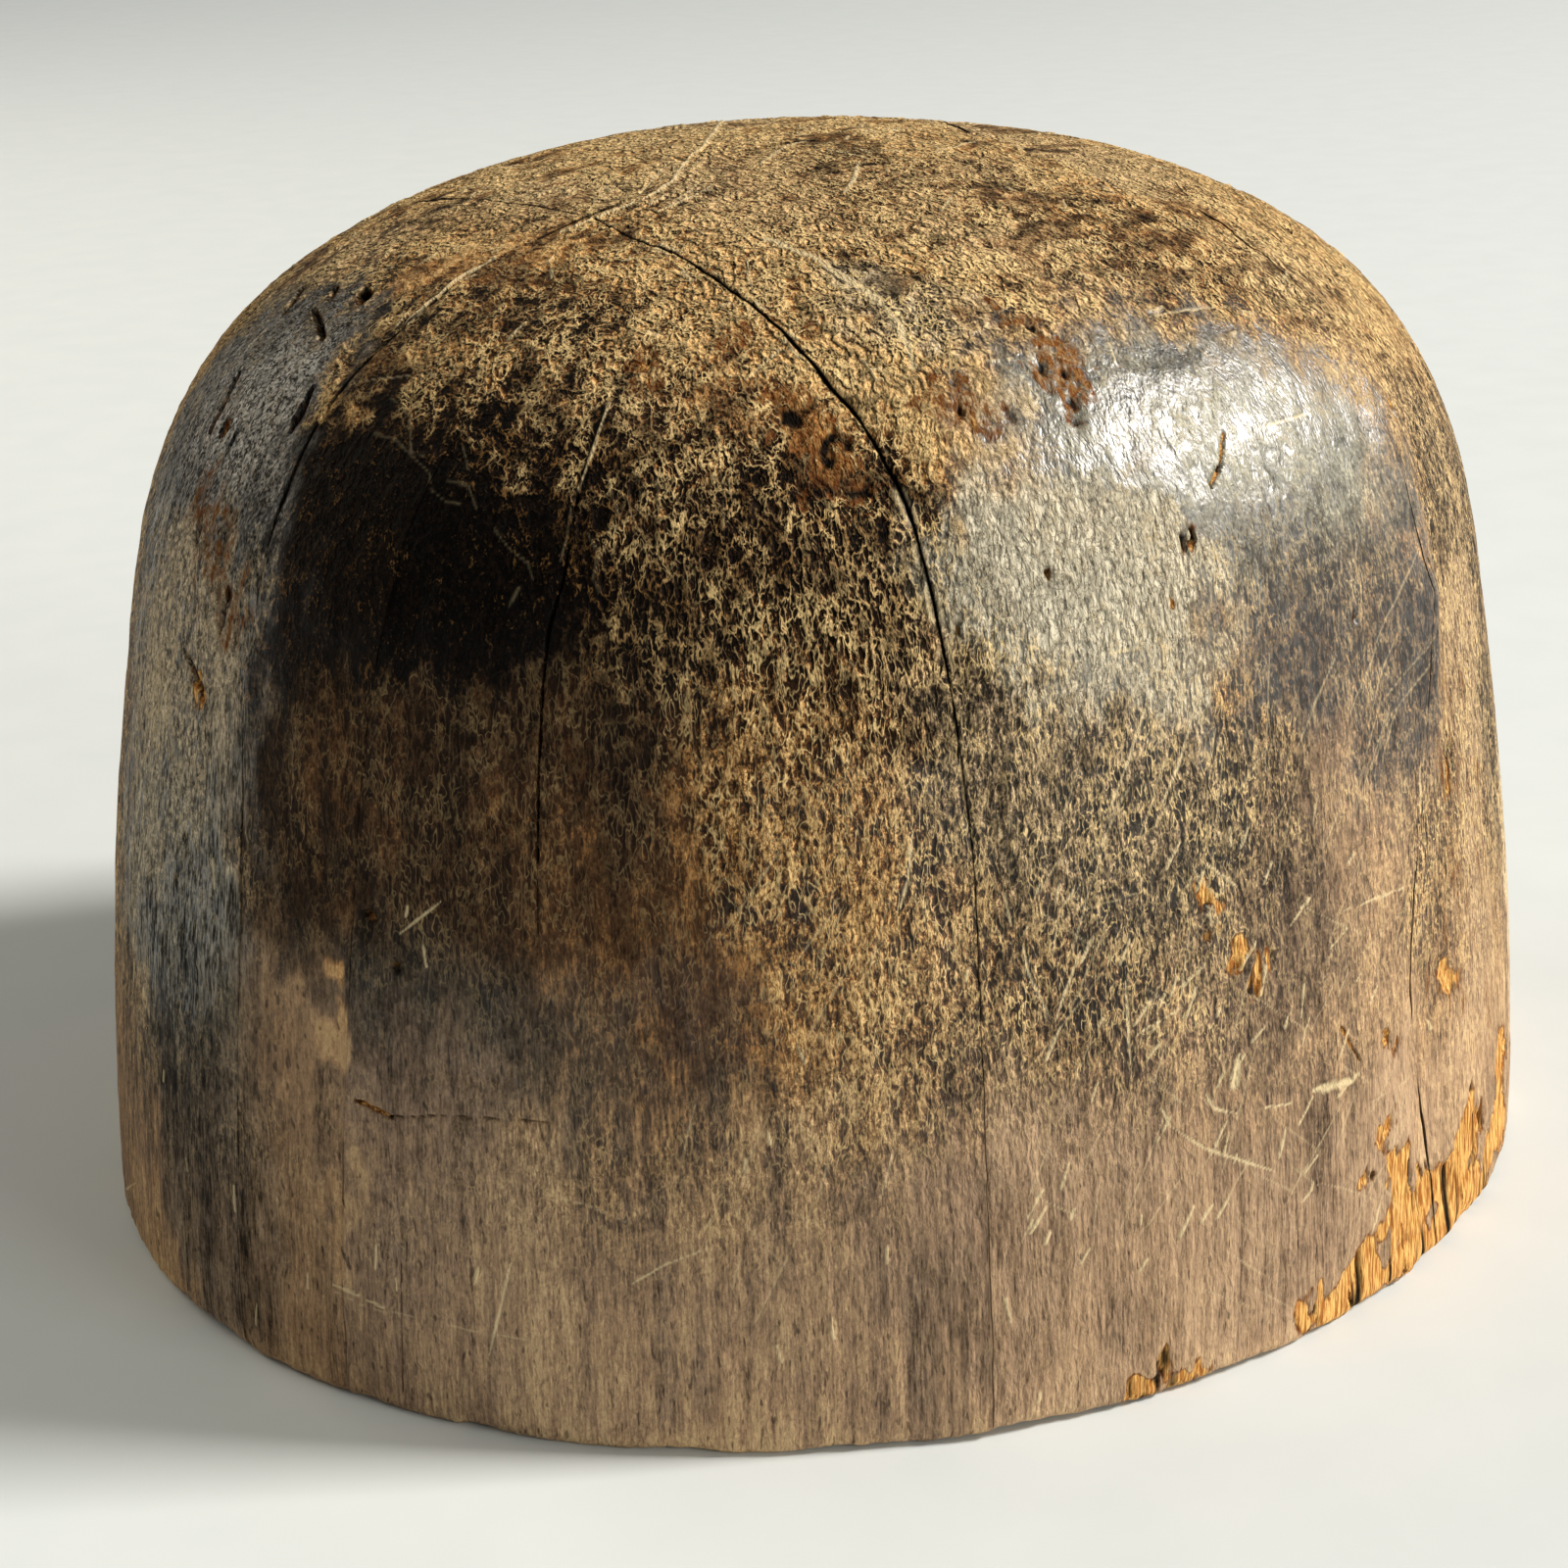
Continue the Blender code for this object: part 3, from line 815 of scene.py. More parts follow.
def cutMarks(points, paint):
    # works every mark into the finish, and gives how far each point goes in or out in mm
    depth = np.zeros(len(points))
    ragged = 1 + cutting["edgeSwing"] * cloud("markEdge", points)
    ragged += cutting["fineEdgeSwing"] * cloud("fineMarkEdge", points)
    for kind, trace in traces:
        look = markKinds[kind]
        reach = look["reachMm"]
        near, far = nearTrace(points, trace, reach * cutting["spareReach"])
        if not len(near):
            continue
        if look.get("lens"):
            half = np.linalg.norm(trace[-1] - trace[0]) / 2 + reach
            off = np.linalg.norm(points[near] - (trace[0] + trace[-1]) / 2, axis=1) / half
            reach = reach * np.sqrt(np.clip(1 - off ** 2, cutting["lensEnd"], 1))
        share = 1 - softStep(far / np.maximum(ragged[near], cutting["leastEdge"]), 0, reach)
        if look["reachMm"] > cutting["broadMm"]:
            share *= softStep(cloud("chipFibre", points[near]), *cutting["broadFrom"])
        deeper = np.minimum if look["depthMm"] < 0 else np.maximum
        depth[near] = deeper(depth[near], look["depthMm"] * share)
        spreads = {
            "dirt": share ** cutting["dirtPower"],
            "paleAndGlint": np.minimum(1, share * cutting["paleGain"]),
            "raw": share ** cutting["rawPower"],
        }
        for name, spread in spreads.items():
            if name in look:
                paint[name][near] = np.maximum(paint[name][near], look[name] * spread)
    return depth


# How uneven the surface is, in mm. Two numbers say where something starts and where it is full.
surface = {
    "carvingMm": 0.30,
    "dentMm": 0.28, "dentFrom": (0.35, 0.8),
    "roughMm": 0.24, "roughLeast": 0.3, "roughUnworn": 0.35, "roughGlossLoss": 0.85,
    "hollowWear": 0.75, "hollowLeast": 0.2, "hollowCalmLoss": 0.8,
    "grainMm": 0.11, "grainCrownLoss": 0.6,
}
torn = {
    "rawFrom": (0.45, 0.95), "topMm": (45, 60), "footMm": (1, 10), "footLeast": 0.1,
    "depthMm": 0.75, "levelAt": 0.45, "splitFrom": (0.3, 0.6), "splitDeeper": 0.6,
    "dirt": 0.85, "dirtFrom": (0.12, 0.45),
}
pitted = {
    "rawFrom": (0.2, 0.55), "depthMm": 0.5, "pitFrom": (-0.1, 0.5),
    "dirt": 0.9, "dirtFrom": (0.08, 0.5),
}
foot = {
    "edgeMm": (0.3, 4.5), "wearMm": 0.35, "wearFrom": (0.05, 0.6), "wearShare": 0.25, "wearAlways": 0.5,
    "liftMm": 0.7, "liftEdgeMm": (0, 3), "liftFrom": (-0.1, 0.7),   # it no longer stands quite flat
}


def atLeast(least, share):
    return least + (1 - least) * share


def roughen(points, up, depth, paint):
    # the rasped form, its dents, the wrinkled crown and the grain
    depth += surface["carvingMm"] * cloud("carving", points)
    depth -= surface["dentMm"] * softStep(cloud("dent", points), *surface["dentFrom"])
    rough = cloud("crownRough", points)
    worn, calm, gloss = (np.clip(paint[name], 0, 1) for name in ("wear", "calm", "gloss"))
    hollows = surface["hollowWear"] * rough * atLeast(surface["hollowLeast"], up)
    paint["wear"] += hollows * (1 - surface["hollowCalmLoss"] * calm)
    raised = surface["roughMm"] * rough * atLeast(surface["roughLeast"], up)
    depth += raised * atLeast(surface["roughUnworn"], worn) * (1 - surface["roughGlossLoss"] * gloss)
    depth += surface["grainMm"] * cloud("grain", points) * (1 - surface["grainCrownLoss"] * up)


def tearAndPit(points, up, depth, paint):
    # splintered wood low on the side, and rust pits where the raw wood shows higher up
    height = points[:, 2]
    tearing = softStep(paint["raw"], *torn["rawFrom"]) * (1 - softStep(height, *torn["topMm"])) * (1 - up)
    splits = cloud("split", points)
    tearMm = torn["depthMm"] * tearing * atLeast(torn["footLeast"], softStep(height, *torn["footMm"]))
    deeper = 1 + torn["splitDeeper"] * softStep(-splits, *torn["splitFrom"])
    depth -= tearMm * (torn["levelAt"] - splits) * deeper
    pitting = softStep(paint["raw"], *pitted["rawFrom"]) * (1 - tearing)
    pits = cloud("pits", points)
    depth -= pitted["depthMm"] * pitting * softStep(pits, *pitted["pitFrom"])
    for dirt in (torn["dirt"] * tearing * softStep(-splits, *torn["dirtFrom"]),
                 pitted["dirt"] * pitting * softStep(pits, *pitted["dirtFrom"])):
        paint["dirt"] = np.maximum(paint["dirt"], dirt)


def wearFoot(points, depth, paint):
    # wears the edge of the foot, and gives how far it has lifted off the bench
    height = points[:, 2]
    edge = 1 - softStep(height, *foot["edgeMm"])
    wear = cloud("footWear", points)
    depth -= foot["wearMm"] * edge * softStep(wear, *foot["wearFrom"])
    paint["wear"] += foot["wearShare"] * edge * (foot["wearAlways"] + wear)
    lift = 1 - softStep(height, *foot["liftEdgeMm"])
    return foot["liftMm"] * lift * softStep(cloud("footLift", points), *foot["liftFrom"])


def bell(value, middle, width):
    return np.exp(-((value - middle) / width) ** 2)


def openJoint(number, name, points, outward, onSkin, move, paint):
    # lets a joint stray and stand open, rubs its edges down and fills it with grime
    look = joints[name]
    axis = look["axis"]
    off = points[:, axis] - look["at"]
    near = np.flatnonzero((np.abs(off) < jointLooks["wanderReachMm"]) & onSkin)
    if name == "stripJoint":        # runs only down the left end
        near = near[points[near, 0] < joints["leftJoint"]["at"] + jointLooks["stripPastMm"]]
    if not len(near):
        return
    side = np.sign(np.mean(off))
    far = np.abs(off[near])
    stray, openMm = followJoint(points[near], look, jointLooks["seed"] + jointLooks["seedStep"] * number)
    if name == "stripJoint":
        openMm = np.full(len(near), jointLooks["stripOpenMm"])
    openMm = openMm * jointLooks["openShare"]
    move[near, axis] += stray * (1 - softStep(far, 0, jointLooks["wanderReachMm"]))
    move[near, axis] += side * openMm / 2 * bell(far, 0, jointLooks["gapMm"])
    rubbed = 1 - softStep(far, 0, jointLooks["arrisMm"] * (jointLooks["arrisLeast"] + openMm))
    drop = rubbed * np.minimum(openMm * jointLooks["arrisDropShare"], jointLooks["arrisDropMm"])
    lip = lumps(points[near], jointLooks["lipSizeMm"], jointLooks["lipSeed"] + number)
    lip = side * jointLooks["lipMm"] * lip * (1 - softStep(far, 0, jointLooks["lipReachMm"]))
    move[near] += outward[near] * (lip - drop)[:, None]
    grime = bell(far, 0, jointLooks["grimeMm"] + jointLooks["grimeOpenShare"] * openMm)
    grime *= softStep(openMm, *jointLooks["grimeOpenMm"])
    paint["dirt"][near] = np.maximum(paint["dirt"][near], grime)
    # painted glints: pale lines beside an open joint, where light would catch its edges
    glint = bell(far, jointLooks["glintAtMm"], jointLooks["glintMm"])
    glint *= softStep(openMm, *jointLooks["glintOpenMm"])
    glint *= softStep(cloud("jointGlint", points[near]), *jointLooks["glintFrom"])
    paint["paleAndGlint"][near] = np.maximum(paint["paleAndGlint"][near], jointLooks["glintPale"] * glint)


def weather(points, outward):
    # moves the points of a stave's skin, in mm, and paints its finish
    onSkin = np.linalg.norm(outward, axis=1) > 0.5      # the sawn faces have no outward direction
    up = crownShare(outward)
    paint = paintFinish(points, outward)
    depth = cutMarks(points, paint)
    roughen(points, up, depth, paint)
    tearAndPit(points, up, depth, paint)
    lift = wearFoot(points, depth, paint)
    move = outward * depth[:, None]
    move[:, 2] += lift * onSkin
    for number, name in enumerate(joints):
        openJoint(number, name, points, outward, onSkin, move, paint)
    move[~onSkin] = 0
    moved = points + move
    moved[:, 2] = np.maximum(moved[:, 2], 0)        # the foot stands on the bench
    for name in finishNames:
        least = finish["leastWear"] if name == "wear" else 0
        paint[name] = np.clip(paint[name], least, finish["most"])
    return moved, paint


layJoints()
paintedStrokes = [(traceOnBlock(path), changes) for path, *changes in strokes]
traces = [(kind, traceOnBlock(path)) for kind, paths in marks.items() for path in paths]
traces += strayMarks() + sweepMarks()
print("marks traced:", len(traces))


refining = {"pastMarkMm": 0.35, "besideJointMm": 0.7, "jointFromMm": 1.0, "fromMm": 0.2}


def refineForm():
    # smaller faces along the narrow marks and the open joints, so that they can be cut crisply
    places = np.array([vert.co for vert in form.verts]) / mm
    fine = np.zeros(len(places), bool)
    for kind, trace in traces:
        if markKinds[kind].get("fine"):
            near, far = nearTrace(places, trace, markKinds[kind]["reachMm"] + refining["pastMarkMm"])
            fine[near] = True
    for name in ("leftJoint", "longJoint", "rightJoint"):
        look = joints[name]
        near = np.abs(places[:, look["axis"]] - look["at"]) < refining["besideJointMm"]
        fine |= near & (places[:, 2] > refining["jointFromMm"])
    fine &= places[:, 2] > refining["fromMm"]
    form.verts.ensure_lookup_table()
    chosen = dict.fromkeys(edge for index in np.flatnonzero(fine) for edge in form.verts[index].link_edges)
    bmesh.ops.subdivide_edges(form, edges=list(chosen), cuts=1, use_grid_fill=True)
    print("refined:", int(fine.sum()), "points,", len(form.verts), "in all")


refineForm()


# Seven upright staves, each below (-1) or above (1) the joints that it meets
staves = {
    "left_front_stave": {
        "slot": "dark_varnished_wood", "cuts": {"longJoint": -1, "leftJoint": -1, "stripJoint": -1},
    },
    "left_strip_stave": {
        "slot": "strip_wood", "cuts": {"longJoint": -1, "leftJoint": -1, "stripJoint": 1},
    },
    "left_back_stave": {
        "slot": "dark_varnished_wood", "cuts": {"longJoint": 1, "leftJoint": -1},
    },
    "middle_front_stave": {
        "slot": "worn_brown_wood", "cuts": {"longJoint": -1, "leftJoint": 1, "rightJoint": -1},
    },
    "middle_back_stave": {
        "slot": "bare_crown_wood", "cuts": {"longJoint": 1, "leftJoint": 1, "rightJoint": -1},
    },
    "right_front_stave": {
        "slot": "worn_brown_wood", "cuts": {"longJoint": -1, "rightJoint": 1},
    },
    "right_back_stave": {
        "slot": "bare_crown_wood", "cuts": {"longJoint": 1, "rightJoint": 1},
    },
}
staveLooks = {
    "sharpAngle": 50,           # degrees: torn edges stay crisp
    "sawToleranceM": 0.00001,
}


def saw(piece, joint, keep):
    # takes off what lies beyond a glue joint and closes the sawn face
    look = joints[joint]
    where, away = Vector(), Vector()
    where[look["axis"]] = (look["at"] + keep * jointLooks["sawGapMm"]) * mm
    away[look["axis"]] = -keep
    cut = bmesh.ops.bisect_plane(
        piece, geom=piece.verts[:] + piece.edges[:] + piece.faces[:], plane_co=where, plane_no=away,
        dist=staveLooks["sawToleranceM"], clear_outer=True,
    )["geom_cut"]
    rim = [item for item in cut if isinstance(item, bmesh.types.BMEdge)]
    bmesh.ops.edgeloop_fill(piece, edges=rim)


def makeStave(name, half, look):
    piece = half.copy()
    for joint, keep in look["cuts"].items():
        if joint != "longJoint":
            saw(piece, joint, keep)
    bmesh.ops.recalc_face_normals(piece, faces=piece.faces)
    mesh = bpy.data.meshes.new(name + "_wood")
    piece.to_mesh(mesh)
    piece.free()
    points, away = np.empty(len(mesh.vertices) * 3), np.empty(len(mesh.vertices) * 3)
    mesh.vertices.foreach_get("co", points)
    mesh.attributes["outward"].data.foreach_get("vector", away)
    points, paint = weather(points.reshape(-1, 3) / mm, away.reshape(-1, 3))
    mesh.vertices.foreach_set("co", (points * mm).ravel())
    for finishName in finishNames:
        values = mesh.attributes.new(finishName, "FLOAT", "POINT").data
        values.foreach_set("value", paint[finishName].astype(np.float32))
    mesh.attributes.remove(mesh.attributes["outward"])
    mesh.update()
    mesh.shade_smooth()
    mesh.set_sharp_from_angle(angle=math.radians(staveLooks["sharpAngle"]))
    stave = bpy.data.objects.new(name + "_carved", mesh)
    bpy.context.scene.collection.objects.link(stave)
    mesh.materials.append(woods[look["slot"]])
    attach(stave, "root")
    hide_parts(name)
    triangles = sum(len(polygon.vertices) - 2 for polygon in mesh.polygons)
    print(name, triangles, "triangles")


# Limewood, rasped to shape and stained, under a dark shellac varnish. Years of wet felt and steam have broken
# the varnish into fine wrinkles and worn it back to bare crests, painted brighter as glints, with painted
# shadow beside.
def toLinear(text):
    # an sRGB hex colour as linear numbers
    parts = [int(text[place:place + 2], 16) / 255 for place in (1, 3, 5)]
    return [part / 12.92 if part <= 0.04045 else ((part + 0.055) / 1.055) ** 2.4 for part in parts] + [1.0]


def addNode(tree, kind, inputs=None, **settings):
    # one node and its settings. A socket takes a value, another socket or a node's first live output.
    made = tree.nodes.new("ShaderNode" + kind)
    for name, value in settings.items():
        setattr(made, name, value)
    for socket, value in (inputs or {}).items():
        if isinstance(value, bpy.types.Node):
            value = next(output for output in value.outputs if output.enabled)
        if isinstance(value, bpy.types.NodeSocket):
            tree.links.new(value, made.inputs[socket])
        else:
            made.inputs[socket].default_value = value
    return made


# Five tones of each finish, from whole varnish to bare wood
# the pale end of these grey tones is also painted as sheen and reflection on the varnish
greyAndSheenTones = ("#100f0c", "#33322a", "#646253", "#959384", "#d0cbb8")
woodLooks = {
    "dark_varnished_wood": {
        "worn": ("#040201", "#28180c", "#573a22", "#af7c47", "#f0c080"),
        "slateAndSheen": greyAndSheenTones, "rubbed": ("#2b2119", "#6b5644", "#927760", "#ad8e70", "#c6a882"),
    },
    "strip_wood": {
        "worn": ("#0a0604", "#301d0c", "#654325", "#b17e48", "#efbf7e"),
        "slateAndSheen": greyAndSheenTones, "rubbed": ("#30241a", "#735b44", "#99795b", "#b08d6a", "#c8a67e"),
    },
    "worn_brown_wood": {
        "worn": ("#090503", "#2c1b0b", "#5c3c22", "#b9854e", "#f6c888"),
        "slateAndSheen": greyAndSheenTones, "rubbed": ("#33271e", "#775f4b", "#a18468", "#b8997b", "#cfb18c"),
    },
    "bare_crown_wood": {
        "worn": ("#090503", "#2f1e0c", "#664425", "#c89356", "#ffd696"),
        "slateAndSheen": greyAndSheenTones, "rubbed": ("#32261c", "#755d47", "#9c7f62", "#b49474", "#ccae88"),
    },
}
toneStops = (0.25, 0.5, 0.75)           # how far worn the three tones between the first and last stand
# crest and dullCrest paint the crests of the wrinkles: bare wood, painted brighter still as glints
commonTones = {
    "crest": "#ffdc9c", "dullCrest": "#8e683c", "raw": "#a0642e", "rawLight": "#e6b56c",
    "rotten": "#54270f", "paleAndGlint": "#dcc79c", "grime": "#050302",
}
# Patterns in the wood: how big a feature is, and how far it is drawn out across the crown and up the side.
# Real fibres, pores and grit are under a tenth of a millimetre. They are drawn two to four times as coarse,
# because they would be too fine to show in the render.
woodGrains = {
    "speck": {"mm": 0.58, "drawn": (1, 1.4, 1.7), "detail": 4.0, "roughness": 0.6, "on": "wavy"},
    "grit": {"mm": 0.24, "drawn": (1, 1.2, 1.5), "detail": 2.0, "roughness": 0.6, "on": "wavy"},
    "fibre": {"mm": 0.24, "drawn": (1, 1.3, 16), "detail": 2.0, "roughness": 0.5, "on": "still"},
    "thread": {"mm": 0.80, "drawn": (1, 1.3, 26), "detail": 3.0, "roughness": 0.6, "on": "still"},
    "pore": {"mm": 0.34, "drawn": (1, 3, 6), "detail": 1.0, "roughness": 0.5, "on": "still"},
    "mottle": {"mm": 3.4, "drawn": (1, 1.8, 1.6), "detail": 5.0, "roughness": 0.66, "on": "wavy"},
    "crack": {"mm": 0.70, "drawn": (1, 1.2, 1.8), "detail": 2.0, "roughness": 0.6, "on": "wavy"},
    "wrinkle": {"mm": 1.45, "drawn": (1, 1.3, 2.6), "detail": 3.0, "roughness": 0.55, "on": "wavy"},
    # the wrinkles once more, moved a little aside, so that a painted shadow is drawn beside each crest
    "wrinklePaintedShadow": {"mm": 1.45, "drawn": (1, 1.3, 2.6), "detail": 3.0, "roughness": 0.55, "on": "paintedShadow"},
    "fineWrinkle": {"mm": 0.60, "drawn": (1, 1.3, 3.4), "detail": 1.0, "roughness": 0.5, "on": "wavy"},
    "fineWrinklePaintedShadow": {"mm": 0.60, "drawn": (1, 1.3, 3.4), "detail": 1.0, "roughness": 0.5, "on": "paintedShadow"},
}
paintedShadowShiftMm = (0.26, 0.04, 0.28)      # the painted shadow of each crest lies this far from it, on the side away from the window's light
# Thin lines run where a pattern passes through its middle: which pattern, and half the line's width in it
woodLines = {
    "crack": ("crack", 0.035),
    # the crest lines are painted bright as glints, and the lines beside them dark as painted shadow
    "ridge": ("wrinkle", 0.17), "crest": ("wrinkle", 0.044), "paintedShadow": ("wrinklePaintedShadow", 0.11),
    "fineRidge": ("fineWrinkle", 0.22), "fineCrest": ("fineWrinkle", 0.055),
    "finePaintedShadow": ("fineWrinklePaintedShadow", 0.11),
}
swayMm, swaySizeMm = 0.34, 2.0  # how far the wrinkles are pushed about, and over what length
# What the patterns add up to: how unevenly the finish wears, how high the wood stands, and its varnish
woodSums = {
    "swing": {"speck": 1.3, "grit": 1.2, "ridge": 0.35},
    "grain": {"fibre": 1.0, "thread": 0.7},
    "reliefMm": {
        "ridge": 0.32, "fineRidge": 0.10, "crack": -0.05, "speck": 0.22, "grit": 0.10, "fibre": 0.08,
        "thread": 0.08,
    },
    "varnishMm": {"ridge": 0.030, "fineRidge": 0.026, "speck": 0.03},
    "broken": {"speck": 1.0, "mottle": 1.0},
}
sumMiddles = {"swing": 1.36, "grain": 0.85}
swingShares = (0.60, 1.25)      # of the swing towards dark, and of the swing towards bare
# Where each share of the finish starts, where it is full, and the most of it
woodShares = {
    "valley": {"of": "speck", "from": 0.46, "to": 0.37, "most": 0.45},
    "pore": {"of": "pore", "from": 0.36, "to": 0.27, "most": 0.6},
    "rawFibre": {"of": "fibre", "from": 0.38, "to": 0.62, "most": 1.0},
    "paleAndGlint": {"of": "paleAndGlint", "from": 0.0, "to": 1.0, "most": 0.85},
    "dirt": {"of": "dirt", "from": 0.0, "to": 0.9, "most": 1.0},
    "whole": {"of": "worn", "from": 1.0, "to": 0.45, "most": 1.0},
    "unbroken": {"of": "broken", "from": 0.85, "to": 1.1, "most": 0.4},
    "bright": {"of": "wear", "from": -0.1, "to": 0.3, "most": 1.0},
    "rotten": {"of": "raw", "from": 0.66, "to": 0.45, "most": 0.85},
}
# What holds the bright crests back, from the least of them to the most
crestLimits = {
    "worn": {"from": -0.2, "to": 0.35, "least": 0.0, "most": 1.0},
    "mottle": {"from": 0.38, "to": 0.62, "least": 0.22, "most": 1.0},
    "calm": {"from": 0.0, "to": 1.0, "least": 1.0, "most": 0.15},
    "gloss": {"from": 0.2, "to": 1.0, "least": 1.0, "most": 0.30},
}
woodMix = {
    "calmContrast": -0.85,
    "fineCrest": 0.75, "finePaintedShadow": 0.55, "crack": 0.6,
    "rawThread": 1.2, "rawSpeck": 0.7, "rawEdge": (1.22, 1.5), "someRaw": (0.02, 0.2),
    "glossLevels": -0.45, "calmLevels": -0.75,      # how much of the relief each takes away
    "roughSpeck": 0.3, "roughLeast": 0.55,
    "brokenCoat": 0.6,
    "coatStreak": (0.12, -0.12), "coatStreakLoss": -0.8,
    "coatRoughness": 0.38, "coatIor": 2.2,          # shellac, waxed
    "specular": 0.05, "ior": 1.5,
}


def addPatterns(tree):
    # every pattern, line and sum of woodGrains, woodLines and woodSums, by name
    place = addNode(tree, "TexCoord").outputs["Object"]
    inMm = addNode(tree, "VectorMath", {0: place, 3: 1 / mm}, operation="SCALE")
    sway = addNode(tree, "TexNoise", {"Vector": inMm, "Scale": 1 / swaySizeMm, "Detail": 1.0})
    wavy = addNode(tree, "VectorMath", {
        0: sway.outputs["Color"], 1: (swayMm * 2,) * 3, 2: inMm,
    }, operation="MULTIPLY_ADD")
    # the same place moved aside, where the painted shadows are drawn
    paintedShadow = addNode(tree, "VectorMath", {0: wavy, 1: paintedShadowShiftMm}, operation="ADD")
    places = {"still": inMm, "wavy": wavy, "paintedShadow": paintedShadow}
    patterns = {}
    for key, grain in woodGrains.items():
        drawn = addNode(tree, "Mapping", {
            "Vector": places[grain["on"]], "Scale": [1 / (times * grain["mm"]) for times in grain["drawn"]],
        })
        patterns[key] = addNode(tree, "TexNoise", {
            "Vector": drawn, "Scale": 1.0, "Detail": grain["detail"], "Roughness": grain["roughness"],
        })
    lines = {}
    for key, (pattern, width) in woodLines.items():
        apart = addNode(tree, "Math", {0: patterns[pattern], 1: 0.5}, operation="SUBTRACT")
        apart = addNode(tree, "Math", {0: apart}, operation="ABSOLUTE")
        lines[key] = addNode(tree, "MapRange", {
            "Value": apart, "From Min": 0.0, "From Max": width, "To Min": 1.0, "To Max": 0.0,
        }, interpolation_type="SMOOTHSTEP")
    patterns.update(lines)
    sums = {}
    for purpose, shares in woodSums.items():
        total = 0.0
        for key, share in shares.items():
            total = addNode(tree, "Math", {
                0: patterns[key], 1: share, 2: total,
            }, operation="MULTIPLY_ADD")
        sums[purpose] = total
    for purpose, middle in sumMiddles.items():
        sums[purpose] = addNode(tree, "Math", {0: sums[purpose], 1: middle}, operation="SUBTRACT")
    return patterns | sums


def addWear(tree, found):
    # how far the finish is worn at each spot: at nought the dark varnish is whole, at one the wood is bare
    found["contrast"] = addNode(tree, "Math", {
        0: found["calm"], 1: woodMix["calmContrast"], 2: 1.0,
    }, operation="MULTIPLY_ADD")
    worn = addNode(tree, "Math", {
        0: found["grain"], 1: found["grained"], 2: found["wear"],
    }, operation="MULTIPLY_ADD")
    darker, barer = (addNode(tree, "Math", {0: found["swing"], 1: share}, operation="MULTIPLY")
                     for share in swingShares)
    swing = addNode(tree, "Math", {0: darker, 1: barer}, operation="MAXIMUM")
    found["worn"] = addNode(tree, "Math", {
        0: swing, 1: found["contrast"], 2: worn,
    }, operation="MULTIPLY_ADD")


def addCrests(tree, found):
    # bare broken crests painted brighter as glints, a painted shadow beside each, coarse on the crown, fine
    # everywhere
    strengths = {}
    for key, fineKey in (("crest", "fineCrest"), ("paintedShadow", "finePaintedShadow")):
        fine = addNode(tree, "Math", {0: found[fineKey], 1: woodMix[fineKey]}, operation="MULTIPLY")
        coarse = addNode(tree, "Math", {0: found[key], 1: found["coarse"]}, operation="MULTIPLY")
        strengths[key] = addNode(tree, "Math", {0: coarse, 1: fine}, operation="MAXIMUM")
    crests = strengths["crest"]
    for key, limit in crestLimits.items():
        allowed = addNode(tree, "MapRange", {
            "Value": found[key], "From Min": limit["from"], "From Max": limit["to"],
            "To Min": limit["least"], "To Max": limit["most"],
        }, interpolation_type="SMOOTHSTEP")
        crests = addNode(tree, "Math", {0: crests, 1: allowed}, operation="MULTIPLY")
    paintedShadowShare = addNode(tree, "Math", {0: strengths["paintedShadow"], 1: found["contrast"]}, operation="MULTIPLY")
    return crests, paintedShadowShare


def addShares(tree, found):
    # how much of each layer shows at each spot
    shares = {}
    for key, share in woodShares.items():
        shares[key] = addNode(tree, "MapRange", {
            "Value": found[share["of"]], "From Min": share["from"], "From Max": share["to"],
            "To Max": share["most"],
        }, interpolation_type="SMOOTHSTEP")
    shares["crack"] = addNode(tree, "Math", {
        0: found["crack"], 1: woodMix["crack"],
    }, operation="MULTIPLY")
    for key in ("valley", "crack"):
        shares[key] = addNode(tree, "Math", {
            0: shares[key], 1: found["contrast"],
        }, operation="MULTIPLY")
    edge = found["raw"]
    for key, share in (("thread", woodMix["rawThread"]), ("speck", woodMix["rawSpeck"])):
        edge = addNode(tree, "Math", {0: found[key], 1: share, 2: edge}, operation="MULTIPLY_ADD")
    splintered = {}
    for key, value in (("rawEdge", edge), ("someRaw", found["raw"])):
        low, high = woodMix[key]
        splintered[key] = addNode(tree, "MapRange", {
            "Value": value, "From Min": low, "From Max": high,
        })
    shares["raw"] = addNode(tree, "Math", {
        0: splintered["rawEdge"], 1: splintered["someRaw"],
    }, operation="MULTIPLY")
    return shares


